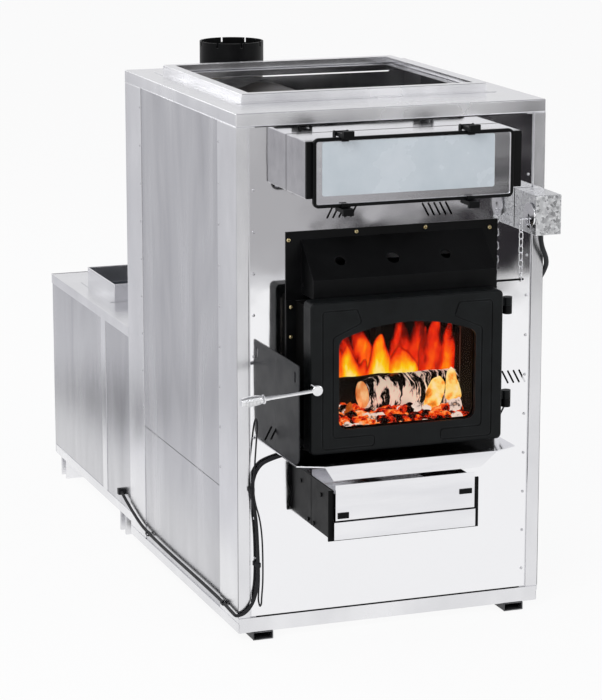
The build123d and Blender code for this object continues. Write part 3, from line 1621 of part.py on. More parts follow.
def clamp(x, pin_z, grow):
    """A clamp lever on its pin, reaching forward past the cover's edge."""
    edge_z = cover_zs[1] + clamp_gap if grow > 0 else cover_zs[0] - clamp_gap
    with BuildPart() as lever:
        rod("X", (x, pin_y, pin_z), clamp_t / 2 + 1.5, clamp_w)
        slab(across(x, clamp_w), (pin_y - clamp_len, pin_y), sorted((edge_z, edge_z + grow * clamp_t)))
        slab(
            across(x, clamp_w),
            (pin_y - clamp_len - 5, pin_y - clamp_len + 4),
            sorted((edge_z, edge_z + grow * (clamp_t + 6))),
        )
        rod("X", (x, pin_y, pin_z), clamp_pin_r + hinge_play, 2 * clamp_w, Mode.SUBTRACT)
    return lever


hatch_clamp_1 = clamp(clamp_xs[0], upper_pin_z, 1)
save(hatch_clamp_1, "hatch_clamp_1")
hatch_clamp_2 = clamp(clamp_xs[1], upper_pin_z, 1)
save(hatch_clamp_2, "hatch_clamp_2")
hatch_clamp_3 = clamp(clamp_xs[0], lower_pin_z, -1)
save(hatch_clamp_3, "hatch_clamp_3")
hatch_clamp_4 = clamp(clamp_xs[1], lower_pin_z, -1)
save(hatch_clamp_4, "hatch_clamp_4")


def cord_path(points):
    """Straight runs with one tangent arc at each corner, given in the cabinet's own corner frame."""
    spots = [Vector(left_x + x, front_y + y, base_z + z) for x, y, z in points]
    radii = []
    for before, here, after in zip(spots, spots[1:], spots[2:]):
        arrive, leave = here - before, after - here
        half_turn_angle = math.radians(arrive.get_angle(leave)) / 2
        shorter = min(arrive.length, leave.length)
        radii.append(min(0.45 * shorter / math.tan(half_turn_angle), 2000.0))
    with BuildLine() as run:
        FilletPolyline(*spots, radius=radii)
    return run


def cord(points, radius):
    """A round cord along a path."""
    run_wire = cord_path(points).wire()
    with BuildSketch(Plane(run_wire @ 0, z_dir=run_wire % 0)) as section:
        Circle(radius)
    sweep(sections=section.sketch, path=run_wire)


loom_clear = 3.0
loom_out = cable_r + loom_clear
thick_run = (
    (118, -loom_out, 425), (68, -loom_out, 416), (43, -loom_out, 395), (33, -loom_out, 362),
    (31, -loom_out, 333), (44, -loom_out, 270), (47, -loom_out, 133), (38, -loom_out, 81),
    (17, -loom_out, 52), (-loom_out, -loom_out, 46), (-loom_out, 17, 46), (-loom_out, 130, 53),
    (-loom_out, 697, 49), (-loom_out, 828, 68), (-loom_out, 935, 98),
)
thin_run = (
    (46, 1.4, 512), (46, -9, 507), (42, -12, 470), (34, -17, 385), (32, -17, 330),
    (54, -14, 262), (58, -10, 133), (54, -9, 84), (54, -8, 68), (54, 1.4, 62),
)
with BuildPart() as wiring_loom:
    cord(thick_run, cable_r)
    cord(thin_run, thin_cable_r)
save(wiring_loom, "wiring_loom")
print(f"wiring_loom tube radii {cable_r} and {thin_cable_r} mm")

# Clips that hold the loom against the sheet
front_clips = ((46.3, 165, 46.3, panel_recess), (32, 347, 27.5, 0))
side_clips = ((90, 50.5), (697, 51))
clip_play = 1.2
clip_wall = 1.5
clip_foot_w = 5.0
gland_len = 15.0
gland_from_rear = 61.0
with BuildPart() as wiring_clips:
    for clip_x, clip_z, foot_x, foot_y in front_clips:
        centre = (left_x + clip_x, front_y - loom_out, base_z + clip_z)
        rod("Z", centre, cable_r + clip_play + clip_wall, clip_t)
        slab(
            across(left_x + foot_x, clip_foot_w),
            (front_y - loom_out + cable_r, front_y + foot_y),
            across(base_z + clip_z, clip_t),
        )
        rod("Z", centre, cable_r + clip_play, clip_t, Mode.SUBTRACT)
    for clip_y, clip_z in side_clips:
        centre = (left_x - loom_out, front_y + clip_y, base_z + clip_z)
        rod("Y", centre, cable_r + clip_play + clip_wall, clip_t)
        slab(
            (left_x - loom_out + cable_r, left_x),
            across(front_y + clip_y, clip_t),
            across(base_z + clip_z, clip_foot_w),
        )
        rod("Y", centre, cable_r + clip_play, clip_t, Mode.SUBTRACT)
    slab(
        (left_x - loom_out - 7, left_x + sheet),
        up(rear_y + gland_from_rear, gland_len),
        across(base_z + 98, 16),
    )
save(wiring_clips, "wiring_clips")

# Flexible conduit from the control box into the right side
conduit_out = cabinet_w + conduit_reach - conduit_r
conduit_run = (
    (conduit_out - 27, -25, 918), (conduit_out - 27, -25, 884),
    (conduit_out - 1, -13, 838), (conduit_out, 12, 806),
    (conduit_out, 42, 780), (conduit_out, 74, 772),
)
gland_ys = (75.0, 110.0)
gland_zs = (756.0, 788.0)
with BuildPart() as control_cable:
    cord(conduit_run, conduit_r)
    slab(
        (right_x, right_x + conduit_reach),
        (front_y + gland_ys[0] - 4, front_y + gland_ys[1]),
        (base_z + gland_zs[0], base_z + gland_zs[1]),
    )
save(control_cable, "control_cable")
print(f"control_cable tube radius {conduit_r} mm")
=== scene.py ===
import json
import math
import random

import bmesh
import bpy
from mathutils import Matrix, Vector, noise


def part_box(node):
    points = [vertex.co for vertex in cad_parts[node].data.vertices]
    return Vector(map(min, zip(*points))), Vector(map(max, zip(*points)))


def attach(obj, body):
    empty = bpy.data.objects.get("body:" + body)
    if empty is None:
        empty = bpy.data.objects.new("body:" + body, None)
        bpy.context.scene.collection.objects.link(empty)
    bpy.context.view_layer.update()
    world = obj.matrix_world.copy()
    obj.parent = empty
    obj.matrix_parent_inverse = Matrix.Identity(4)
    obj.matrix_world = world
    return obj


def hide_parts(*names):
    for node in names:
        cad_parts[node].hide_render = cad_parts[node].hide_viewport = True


bl_info = {
    "name": "Hot air furnace",
    "version": (1, 0, 0),
    "blender": (4, 5, 0),
    "location": "View3D > Sidebar > Furnace",
    "description": "Dresses the packed hot air furnace with its finished pieces and materials",
    "category": "Object",
}

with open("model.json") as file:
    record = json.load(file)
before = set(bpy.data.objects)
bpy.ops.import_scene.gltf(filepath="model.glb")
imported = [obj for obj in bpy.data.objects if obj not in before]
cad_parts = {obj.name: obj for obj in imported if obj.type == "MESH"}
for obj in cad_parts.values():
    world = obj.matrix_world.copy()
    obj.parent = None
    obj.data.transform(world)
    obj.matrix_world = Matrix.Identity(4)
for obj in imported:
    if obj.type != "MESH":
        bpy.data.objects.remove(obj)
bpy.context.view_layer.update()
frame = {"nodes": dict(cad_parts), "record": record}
record = frame["record"]
BODY_OF = {n: body for body, members in record["behaviour"]["bodies"].items() for n in members}
SLOT_OF = {part["node"]: part["material_slot"] for part in record["subparts"]}
MM = 0.001

WELD = 0.02 * MM  # vertices of a CAD mesh that are this close are one
CRISP = 35  # an edge sharper than this, in degrees, stays crisp
ROUND = 60  # the same for ropes, coils and flames, whose facets are all smoothed over

# The cabinet's left, front, lower corner, from which the drawing measures
CAB = Vector((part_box("base_pan")[0].x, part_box("base_pan")[0].y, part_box("base_pan")[0].z))
MID_X = (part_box("base_pan")[0].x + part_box("base_pan")[1].x) / 2


def cab(x, y, z):
    """A place measured in millimetres from the cabinet's left, front, lower corner."""
    return CAB + Vector((x, y, z)) * MM


def linear(code):
    """A colour from its sRGB hex code, as linear red, green and blue with full alpha."""
    parts = [int(code[i:i + 2], 16) / 255 for i in (1, 3, 5)]
    return (*[p / 12.92 if p <= 0.04045 else ((p + 0.055) / 1.055) ** 2.4 for p in parts], 1.0)


def add(tree, kind, sockets=None, take=0, stops=(), **settings):
    """Add a node, set or link its input sockets, and return the output to take from it.

    A shader node's kind leaves out "ShaderNode", and a colour may be its sRGB hex code.
    """
    made = tree.nodes.new(kind if "Node" in kind else "ShaderNode" + kind)
    for key, value in settings.items():
        setattr(made, key, value)
    for key, value in (sockets or {}).items():
        if isinstance(value, bpy.types.NodeSocket):
            tree.links.new(value, made.inputs[key])
        else:
            coded = isinstance(value, str) and value.startswith("#")
            made.inputs[key].default_value = linear(value) if coded else value
    for index, (place, code) in enumerate(stops):
        points = made.color_ramp.elements
        point = points[index] if index < 2 else points.new(place)
        point.position, point.color = place, linear(code)
    return made.outputs[take] if made.outputs else None


# ---------------------------------------------------------------- materials
FINISHES = {}


def blank(name):
    """A new material and its empty node tree."""
    material = bpy.data.materials.new(name)
    material.use_nodes = True
    material.node_tree.nodes.clear()
    return material, material.node_tree


def finish(slot):
    """The finish for a material slot, made the first time it is asked for."""
    if slot not in FINISHES:
        FINISHES[slot], tree = blank(slot)
        coords = add(tree, "TexCoord", take="Object")
        shader = add(tree, "BsdfPrincipled", MAKERS[slot](tree, coords))
        add(tree, "OutputMaterial", {"Surface": shader})
    return FINISHES[slot]


def coat_of(
    dark, light, patch, grain, relief, shine, metal=0.0, specular=0.5,
    stretch=(1, 1, 1), edge_wear_and_highlight="", edge_wear_and_highlight_width=0.002, painted_shade_reach=0.0, **others
):
    """A finish with soft patches between two colours, a fine grain and, if asked, edges lightened
    as worn paint and painted highlight, and corners darkened as painted shade.

    patch and grain are real sizes in metres, relief is the grain's height in metres, shine is
    the lowest and highest roughness, and the corner reach is how deep painted shade reaches
    into a corner, in metres.
    """
    def fill(tree, coords):
        laid = add(tree, "Mapping", {"Vector": coords, "Scale": stretch})
        clouds = add(
            tree, "TexNoise",
            {"Vector": laid, "Scale": 1 / patch, "Detail": 4.0, "Roughness": 0.55},
        )
        middle = {"Value": clouds, "From Min": 0.3, "From Max": 0.7}
        spread = add(tree, "MapRange", middle)
        colour = add(tree, "Mix", {0: spread, 6: dark, 7: light}, 2, data_type="RGBA")
        rough = add(tree, "MapRange", {**middle, "To Min": shine[0], "To Max": shine[1]})
        grains = add(tree, "TexNoise", {"Vector": laid, "Scale": 1 / grain})
        bump = add(tree, "Bump", {"Height": grains, "Distance": relief, "Strength": 1.0})
        # Edges lightened towards the edge colour: partly worn paint, partly a painted highlight
        # where a rounded edge would catch the light
        if edge_wear_and_highlight:
            rounded = add(tree, "Bevel", {"Radius": edge_wear_and_highlight_width}, samples=4)
            true = add(tree, "NewGeometry", take="True Normal")
            match = add(tree, "VectorMath", {0: rounded, 1: true}, "Value", operation="DOT_PRODUCT")
            edge = add(
                tree, "MapRange",
                {"Value": match, "From Min": 0.985, "From Max": 0.80, "To Max": 0.8},
            )
            worn_and_highlit_edges = add(tree, "Math", {0: edge, 1: spread}, operation="MULTIPLY")
            colour = add(tree, "Mix", {0: worn_and_highlit_edges, 6: colour, 7: edge_wear_and_highlight}, 2, data_type="RGBA")
        # Painted shade: the colour is darkened towards black in corners and recesses that see
        # little of the room
        if painted_shade_reach:
            painted_shade_ao = add(tree, "AmbientOcclusion", {"Distance": painted_shade_reach}, "AO", samples=6)
            kept = add(
                tree, "MapRange",
                {"Value": painted_shade_ao, "From Min": 0.45, "From Max": 0.85, "To Min": 0.15},
            )
            colour = add(tree, "Mix", {0: kept, 6: "#020202", 7: colour}, 2, data_type="RGBA")
        return {
            "Base Color": colour, "Metallic": metal, "Roughness": rough, "Normal": bump,
            "Specular IOR Level": specular, **others,
        }

    return fill


def jittered(tree, coords, size, reach):
    """Coordinates pushed about by noise: its grain and its reach are real sizes in metres."""
    bent = add(tree, "TexNoise", {"Vector": coords, "Scale": 1 / size, "Detail": 3.0}, 1)
    moved = add(tree, "VectorMath", {0: bent, "Scale": reach}, operation="SCALE")
    return add(tree, "VectorMath", {0: coords, 1: moved}, operation="ADD")


def drawn_out(tree, coords, spacing, **sockets):
    """Noise with a real grain size along each axis, in metres."""
    scale = [1 / size for size in spacing]
    laid = add(tree, "Mapping", {"Vector": coords, "Scale": scale})
    return add(tree, "TexNoise", {"Vector": laid, "Scale": 1.0, **sockets})


def galvanised_sheet(tree, coords):
    """Hot-dip galvanised sheet: zinc crystals of about 6 mm that catch the light unevenly."""
    placed = jittered(tree, coords, 0.01, 0.006)
    cells = add(tree, "TexVoronoi", {"Vector": placed, "Scale": 1 / 0.006}, "Color")
    tone = add(tree, "SeparateColor", {0: cells})
    clouds = add(tree, "TexNoise", {"Vector": coords, "Scale": 1 / 0.22, "Detail": 3.0})
    both = add(tree, "Math", {0: tone, 1: clouds}, operation="MULTIPLY")
    level = add(tree, "MapRange", {"Value": both, "From Min": 0.05, "From Max": 0.65})
    colour = add(tree, "Mix", {0: level, 6: "#c6c7c9", 7: "#f0f1f2"}, 2, data_type="RGBA")
    rough = add(tree, "MapRange", {"Value": tone, "To Min": 0.22, "To Max": 0.40})
    return {"Base Color": colour, "Metallic": 1.0, "Roughness": rough}


def satin_stainless(tree, coords):
    """Satin stainless sheet: upright grinding lines and soft cloudy streaks down the sheet."""
    clouds = drawn_out(tree, coords, (0.16, 0.16, 0.7), Detail=3.0, Distortion=0.6)
    # Grinding lines are 0.2 mm apart; these are drawn at 1.5 mm so that they show
    lines = drawn_out(tree, coords, (0.0015, 0.0015, 0.18), Detail=2.0)
    mixed = add(tree, "Math", {0: lines, 1: 0.18, 2: clouds}, operation="MULTIPLY_ADD")
    level = add(tree, "MapRange", {"Value": mixed, "From Min": 0.40, "From Max": 0.78})
    colour = add(tree, "Mix", {0: level, 6: "#b4b4b8", 7: "#d6d6d9"}, 2, data_type="RGBA")
    rough = add(tree, "MapRange", {"Value": mixed, "To Min": 0.16, "To Max": 0.32})
    bump = add(tree, "Bump", {"Height": lines, "Distance": 0.00002})
    return {"Base Color": colour, "Metallic": 1.0, "Roughness": rough, "Normal": bump}


def mirror_stainless(tree, coords):
    """Mirror-polished stainless sheet: a clear reflection, bent a little by the rolled sheet."""
    waves = add(tree, "TexNoise", {"Vector": coords, "Scale": 1 / 0.17, "Detail": 1.5})
    bump = add(tree, "Bump", {"Height": waves, "Distance": 0.0011})
    haze = add(tree, "TexNoise", {"Vector": coords, "Scale": 1 / 0.09, "Detail": 5.0})
    rough = add(
        tree, "MapRange",
        {"Value": haze, "From Min": 0.3, "From Max": 0.7, "To Min": 0.03, "To Max": 0.10},
    )
    return {"Base Color": "#f2f2f4", "Metallic": 1.0, "Roughness": rough, "Normal": bump}


def fire_glass(tree, coords):
    """Ceramic fire glass: clear with a faint amber tint."""
    soot = add(tree, "TexNoise", {"Vector": coords, "Scale": 1 / 0.12, "Detail": 4.0})
    colour = add(tree, "Mix", {0: soot, 6: "#fff3e2", 7: "#f3dcc0"}, 2, data_type="RGBA")
    return {"Base Color": colour, "Roughness": 0.02, "Transmission Weight": 1.0, "IOR": 1.12}


def birch_bark(tree, coords):
    """Birch in the fire: white bark split by black checks across the log, charred on top."""
    checks = drawn_out(
        tree, jittered(tree, coords, 0.05, 0.035), (0.009, 0.06, 0.05), Detail=3.0, Roughness=0.6
    )
    chars = add(tree, "TexNoise", {"Vector": coords, "Scale": 1 / 0.07, "Detail": 5.0})
    both = add(tree, "Math", {0: chars, 1: 0.8, 2: checks}, operation="MULTIPLY_ADD")
    bark = add(
        tree, "ValToRGB", {0: both},
        stops=((0.82, "#ece4e9"), (1.00, "#030202"), (0.88, "#b9a9ad"), (0.905, "#0a0606")),
    )
    glow = add(tree, "MapRange", {"Value": chars, "From Min": 0.66, "From Max": 0.74})
    lit = add(tree, "Mix", {0: glow, 6: bark, 7: "#ff6a1c"}, 2, data_type="RGBA")
    bump = add(tree, "Bump", {"Height": both, "Distance": -0.004})
    # Painted firelight: the bark glows at its own colour; the orange spots are burning char
    return {
        "Base Color": bark, "Roughness": 0.85, "Specular IOR Level": 0.1, "Normal": bump,
        "Emission Color": lit, "Emission Strength": 0.62,
    }


def cut_wood(tree, coords):
    """A sawn log end in the fire: peach end grain, browned where it burns."""
    browned = add(tree, "TexNoise", {"Vector": coords, "Scale": 1 / 0.035, "Detail": 3.0})
    colour = add(
        tree, "ValToRGB", {0: browned},
        stops=((0.36, "#fbd3a6"), (0.72, "#a8390c"), (0.52, "#f0a868")),
    )
    # Painted firelight: the end grain glows in its own colour
    return {
        "Base Color": colour, "Roughness": 0.9, "Emission Color": colour, "Emission Strength": 0.75,
    }


def ember_bed(tree, coords):
    """Embers: each lump has its own heat, from black char through red and orange to white ash."""
    own = add(tree, "SeparateXYZ", {0: add(tree, "UVMap", uv_map="heat")})
    lumps = add(
        tree, "TexNoise",
        {"Vector": coords, "Scale": 1 / 0.018, "Detail": 4.0, "Roughness": 0.6},
    )
    both = add(tree, "Math", {0: lumps, 1: 0.8, 2: own}, operation="MULTIPLY_ADD")
    colour = add(
        tree, "ValToRGB", {0: both},
        stops=(
            (0.36, "#040202"), (0.98, "#f3eef2"), (0.45, "#4a0a05"), (0.52, "#e0280c"),
            (0.59, "#ff7a22"), (0.65, "#ffb070"), (0.70, "#f6d2c4"), (0.78, "#2b1a1c"),
            (0.84, "#e8dbe2"),
        ),
    )
    # The whole ramp glows: red and orange embers, and the pale ash as painted firelight
    return {
        "Base Color": "#0c0807", "Roughness": 0.95, "Specular IOR Level": 0.1,
        "Emission Color": colour, "Emission Strength": 1.0,
    }


def hot_split(tree, coords):
    """A split of wood burning through: pale yellow with orange at its edges."""
    heat = add(tree, "TexNoise", {"Vector": coords, "Scale": 1 / 0.03, "Detail": 3.0})
    colour = add(
        tree, "ValToRGB", {0: heat},
        stops=((0.30, "#fff7dc"), (0.74, "#3a0c04"), (0.48, "#ffe487"), (0.60, "#ff9a2a")),
    )
    return {
        "Base Color": "#2a1a10", "Roughness": 0.9,
        "Emission Color": colour, "Emission Strength": 1.0,
    }


def flame_glow(tree, coords):
    """Flame: yellow where it is hottest, then orange and red, and clear past its edge."""
    heat = add(tree, "SeparateXYZ", {0: add(tree, "UVMap", uv_map="heat")})
    licks = drawn_out(tree, coords, (0.02, 0.02, 0.06), Detail=4.0, Roughness=0.55, Distortion=0.8)
    shift = add(tree, "Math", {0: licks, 1: 0.5, 2: -0.25}, operation="MULTIPLY_ADD")
    both = add(tree, "Math", {0: heat, 1: shift}, operation="ADD")
    colour = add(
        tree, "ValToRGB", {0: both},
        stops=(
            (0.08, "#1c0302"), (0.98, "#fff3a0"), (0.24, "#8e1006"), (0.40, "#ea2a0a"),
            (0.56, "#ff6a10"), (0.72, "#ffa80c"), (0.86, "#ffdc10"),
        ),
    )
    body = add(tree, "MapRange", {"Value": both, "From Min": 0.04, "From Max": 0.30})
    return {
        "Base Color": "#000000", "Roughness": 1.0, "Specular IOR Level": 0.0,
        "Emission Color": colour, "Emission Strength": 1.0, "Alpha": body,
    }


MAKERS = {
    "satin_sheet": satin_stainless,
    "mirror_sheet": mirror_stainless,
    "galvanised": galvanised_sheet,
    "door_glass": fire_glass,
    "birch_bark": birch_bark,
    "cut_wood": cut_wood,
    "ember_bed": ember_bed,
    "hot_split": hot_split,
    "flame_glow": flame_glow,
    # Braided glass-fibre rope: matt grey yarns with a little fluff
    "rope_grey": coat_of(
        "#4a4844", "#77736c", 0.012, 0.0012, 0.0006, (0.85, 0.95), **{"Sheen Weight": 0.3}
    ),
    # Burnt wood: black and cracked, with almost no shine
    "char": coat_of("#040303", "#12100f", 0.02, 0.004, 0.002, (0.85, 0.95), specular=0.1),
    # A stick of wood that glows orange-brown
    "glowing_stick": coat_of(
        "#5a1c08", "#d9781c", 0.02, 0.004, 0.001, (0.85, 0.95),
        **{"Emission Color": "#b8560f", "Emission Strength": 0.6},
    ),
    # Black heat-proof paint inside the door's throat, dulled by soot
    "sooty_paint": coat_of("#050505", "#0b0a0a", 0.04, 0.002, 0.0001, (0.8, 0.95), specular=0.08),
    # Bright satin sheet: soft cloudy reflections that run along the folded strips
    "sheet_steel": coat_of(
        "#d8d8db", "#f2f2f4", 0.22, 0.0018, 0.000006, (0.17, 0.30), metal=1.0,
        stretch=(1, 1, 0.5),
    ),
    # Polished stainless sheet: bright, with faint handling marks
    "polished_steel": coat_of(
        "#dedee2", "#f2f2f4", 0.08, 0.0016, 0.000006, (0.06, 0.16), metal=1.0,
        stretch=(0.15, 1, 1),
    ),
    # Painted steel tube: dark grey enamel, dusty low down, with grey edges as worn paint and
    # painted highlight
    "frame_steel": coat_of(
        "#232325", "#3a3a3c", 0.05, 0.003, 0.0001, (0.35, 0.55), specular=0.3, edge_wear_and_highlight="#8b8b8d"
    ),
    # Plain rivet heads in the colour of the sheet, slightly dull
    "rivet_steel": coat_of("#b0b0b4", "#d4d4d7", 0.004, 0.0006, 0.00003, (0.25, 0.40), metal=1.0),
    # Yellow-chromated screw heads, with painted shade darkening their recesses
    "yellow_zinc": coat_of(
        "#a58e5e", "#dccfa6", 0.004, 0.0006, 0.00003, (0.22, 0.36), metal=1.0, painted_shade_reach=0.004
    ),
    # Hot-rolled plate with its mill scale: blue-black skin, a little rust
    "firebox_steel": coat_of("#3a3b3f", "#5f5a54", 0.06, 0.002, 0.0002, (0.28, 0.46), metal=0.75),
    # Fired clay brick, blackened by soot, with its buff clay on the worn corners, which also
    # stand for a painted highlight on the edges
    "firebrick": coat_of(
        "#070504", "#171009", 0.05, 0.0018, 0.0008, (0.85, 0.95), specular=0.1, edge_wear_and_highlight="#3a2c1e"
    ),
    # Raw cast iron: dark and sandy
    "grate_iron": coat_of("#1c1a19", "#332f2c", 0.02, 0.0015, 0.0005, (0.6, 0.75), metal=0.4),
    # Satin stove paint: black with a fine orange-peel, and grey edges as worn paint and painted
    # highlight
    "black_paint": coat_of(
        "#060607", "#0c0d0e", 0.06, 0.0016, 0.00006, (0.36, 0.48), specular=0.10,
        edge_wear_and_highlight="#4a4a4c", edge_wear_and_highlight_width=0.0010,
    ),
    # The same paint a shade lighter, as a painted sheen, with grey edges as worn paint and
    # painted highlight
    "painted_sheen_black": coat_of(
        "#151618", "#232427", 0.05, 0.0016, 0.00006, (0.34, 0.46), specular=0.18,
        edge_wear_and_highlight="#6a6a6c", edge_wear_and_highlight_width=0.0012,
    ),
    # Charcoal stove paint on a sand casting: a soft pebbled skin, with painted shade darkening
    # its grooves and grey edges as worn paint and painted highlight
    "cast_paint": coat_of(
        "#0a0c0d", "#111415", 0.05, 0.0022, 0.00022, (0.38, 0.50), specular=0.15,
        edge_wear_and_highlight="#44484b", edge_wear_and_highlight_width=0.0018, painted_shade_reach=0.007,
    ),
    # Baked enamel on a motor case, with lighter edges as worn paint and painted highlight
    "motor_grey": coat_of(
        "#34383b", "#454a4e", 0.05, 0.0016, 0.00006, (0.32, 0.45), edge_wear_and_highlight="#8a8d90"
    ),
    # Rubber cable sheath: matt, slightly dusty
    "cable_black": coat_of("#0f0f11", "#1c1c20", 0.02, 0.0012, 0.00004, (0.50, 0.68), specular=0.3),
    # Corrugated nylon conduit
    "conduit_grey": coat_of(
        "#1c1d1f", "#303234", 0.03, 0.0012, 0.00004, (0.42, 0.55), specular=0.3
    ),
    # Chrome plate: clear and bright
    "bright_chrome": coat_of("#dfe0e2", "#f2f2f3", 0.02, 0.002, 0.000004, (0.05, 0.10), metal=1.0),
    # Vitreous enamel on a thin plate
    "pale_plate": coat_of(
        "#b8c2c8", "#cad1d6", 0.12, 0.003, 0.00001, (0.22, 0.30), **{"Coat Weight": 0.2}
    ),
    # Filter frame: bleached card
    "filter_card": coat_of("#cfc8ba", "#e4dfd3", 0.04, 0.0012, 0.0001, (0.80, 0.92)),
    # Filter fibre: pale blue, fluffy
    "filter_pad": coat_of(
        "#93a7b8", "#b9c8d6", 0.015, 0.0012, 0.0006, (0.88, 0.96), **{"Sheen Weight": 0.4}
    ),
}


# ---------------------------------------------------------------- mesh helpers
def piece(name, data):
    """A new object in the scene, at the origin."""
    made = bpy.data.objects.new(name, data)
    bpy.context.scene.collection.objects.link(made)
    return made


def settle(made):
    """Apply an object's modifiers and leave a plain mesh."""
    graph = bpy.context.evaluated_depsgraph_get()
    mesh = bpy.data.meshes.new_from_object(made.evaluated_get(graph))
    made.modifiers.clear()
    made.data = mesh
    return made


def smooth(made, angle=CRISP):
    """Shade smooth, with edges sharper than the angle kept crisp."""
    made.data.shade_smooth()
    made.data.set_sharp_from_angle(angle=math.radians(angle))
    return made


def hand_over(made, body, slot, nodes=(), material=None):
    """Finish a piece: its material, the body that it rides on, and the nodes it stands for."""
    if made.type != "MESH" or not made.data.materials:
        made.data.materials.append(material or finish(slot))
    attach(made, body)
    if nodes:
        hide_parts(*nodes)
    return made


def poured(name, build, outward=True):
    """Turn a bmesh into an object; outward has the faces of a closed shape point out."""
    if outward:
        bmesh.ops.recalc_face_normals(build, faces=build.faces)
    mesh = bpy.data.meshes.new(name)
    build.to_mesh(mesh)
    build.free()
    return piece(name, mesh)


def turned(angle, side, other):
    """The direction that is an angle round from one direction towards another."""
    return math.cos(angle) * side + math.sin(angle) * other


def skin(build, grid, around=False):
    """Add the faces between neighbouring rows of vertices; around closes each row on itself."""
    count = len(grid[0])
    for near, far in zip(grid, grid[1:]):
        for j in range(count if around else count - 1):
            k = (j + 1) % count
            build.faces.new((near[j], far[j], far[k], near[k]))


def bar(build, low, high):
    """Add a box between two corners to a bmesh."""
    size = Matrix.Diagonal((*(high - low), 1.0))
    bmesh.ops.create_cube(build, size=1.0, matrix=Matrix.Translation((low + high) / 2) @ size)


def copied(node):
    """A copy of a CAD node's mesh as a bmesh, with its seams merged."""
    build = bmesh.new()
    build.from_mesh(frame["nodes"][node].data)
    bmesh.ops.remove_doubles(build, verts=build.verts, dist=WELD)
    return build


def merged(node):
    """The same, with the triangles of a flat face joined."""
    build = copied(node)
    level = math.radians(0.4)
    bmesh.ops.dissolve_limit(build, angle_limit=level, verts=build.verts, edges=build.edges)
    return build


def even_normals(made):
    """Shade smooth with crisp sharp edges, and keep broad flat sheets exactly flat."""
    # Cosine within one plane, area of a broad sheet in m2, and share at which sizes are alike
    level, broad, alike = 0.99999, 1e-4, 0.3
    smooth(made)
    build = bmesh.new()
    build.from_mesh(made.data)
    build.faces.ensure_lookup_table()
    # Neighbours in one plane are one sheet, and its area decides how much it counts
    sheet = [-1] * len(build.faces)
    areas = []
    for face in build.faces:
        if sheet[face.index] >= 0:
            continue
        sheet[face.index] = len(areas)
        queue, area = [face], 0.0
        while queue:
            here = queue.pop()
            area += here.calc_area()
            for line in here.edges:
                for other in line.link_faces:
                    if sheet[other.index] < 0 and other.normal.dot(face.normal) > level:
                        sheet[other.index] = len(areas)
                        queue.append(other)
        areas.append(area)
    limit = math.cos(math.radians(CRISP))
    flat = [area > broad for area in areas]
    for line in build.edges:
        if len(line.link_faces) == 2:
            one, two = line.link_faces
            a, b = sheet[one.index], sheet[two.index]
            if a != b and one.normal.dot(two.normal) > limit:
                # A facet of a curve has neighbours of about its own size
                if areas[b] > alike * areas[a]:
                    flat[a] = False
                if areas[a] > alike * areas[b]:
                    flat[b] = False
    normals = []
    for face in build.faces:
        for v in face.verts:
            if flat[sheet[face.index]]:
                normals.append(face.normal.copy())
                continue
            total = Vector()
            for other in v.link_faces:
                if other.normal.dot(face.normal) > limit:
                    total += other.normal * areas[sheet[other.index]]
            normals.append(total.normalized())
    build.free()
    made.data.normals_split_custom_set(normals)
    return made


def plain(node):
    """Replace a CAD node by a smooth-shaded copy of the same shape."""
    made = even_normals(poured(node + "_finished", copied(node), outward=False))
    hand_over(made, BODY_OF[node], SLOT_OF[node], [node])


def face_width(face, edge):
    """How far a face reaches from one of its edges."""
    start = edge.verts[0].co
    along = (edge.verts[1].co - start).normalized()
    inward = face.normal.cross(along)
    return max(abs((v.co - start).dot(inward)) for v in face.verts)


def dress(node, fold=0.0, edge=0.4 * MM, thin=3.5 * MM, material=None, holes=True):
    """Replace a CAD node by a copy with rounded folds and softened cut edges.

    An edge of a face narrower than thin is a cut edge, and a slight bend stays as it is; holes
    says that some faces have holes.
    """
    build = merged(node)
    weights = build.edges.layers.float.new("bevel_weight_edge")
    widest, slight = max(fold, edge), math.radians(25)
    for line in build.edges:
        if len(line.link_faces) != 2 or line.calc_face_angle(0.0) < slight:
            continue
        broad = min(face_width(face, line) for face in line.link_faces) > thin
        round_over = fold if broad and line.is_convex else edge
        line[weights] = round_over / widest
    if holes:
        # Faces round a hole are cut into triangles, so that the bevel can't fold them over
        bmesh.ops.triangulate(build, faces=[face for face in build.faces if len(face.verts) > 4])
    made = poured(node + "_finished", build, outward=False)
    bevel = made.modifiers.new("soft edges", "BEVEL")
    bevel.limit_method = "WEIGHT"
    bevel.width = widest
    bevel.segments = 3 if fold >= 0.9 * MM else 2
    bevel.use_clamp_overlap = not holes
    bevel.harden_normals = False
    even_normals(settle(made))
    return hand_over(made, BODY_OF[node], SLOT_OF[node], [node], material)


def painted(made, cuts, black):
    """Cut a piece along level planes, then paint black each face whose middle passes the test.

    Each cut is an axis and a place on it.
    """
    build = bmesh.new()
    build.from_mesh(made.data)
    for axis, place in cuts:
        spot, way = Vector(), Vector()
        spot[axis], way[axis] = place, 1.0
        bmesh.ops.bisect_plane(
            build, geom=build.verts[:] + build.edges[:] + build.faces[:], dist=1e-6,
            plane_co=spot, plane_no=way,
        )
    for face in build.faces:
        face.material_index = 1 if black(face.calc_center_median()) else 0
    build.to_mesh(made.data)
    build.free()
    made.data.materials.append(finish("black_paint"))
    even_normals(made)


def lathe(name, profile, sides):
    """A head turned about Z from (radius, height) pairs in millimetres, up to its pole."""
    build = bmesh.new()
    rings = []
    for radius, height in profile:
        count = sides if radius else 1
        rings.append([
            build.verts.new(MM * (
                turned(math.tau * i / count, Vector((radius, 0, 0)), Vector((0, radius, 0)))
                + Vector((0, 0, height))
            ))
            for i in range(count)
        ])
    for low, high in zip(rings, rings[1:]):
        for i in range(sides):
            j = (i + 1) % sides
            corners = (low[i], low[j], high[j % len(high)], high[i % len(high)])
            build.faces.new(list(dict.fromkeys(corners)))
    build.faces.new(rings[0][::-1])
    return poured(name, build)


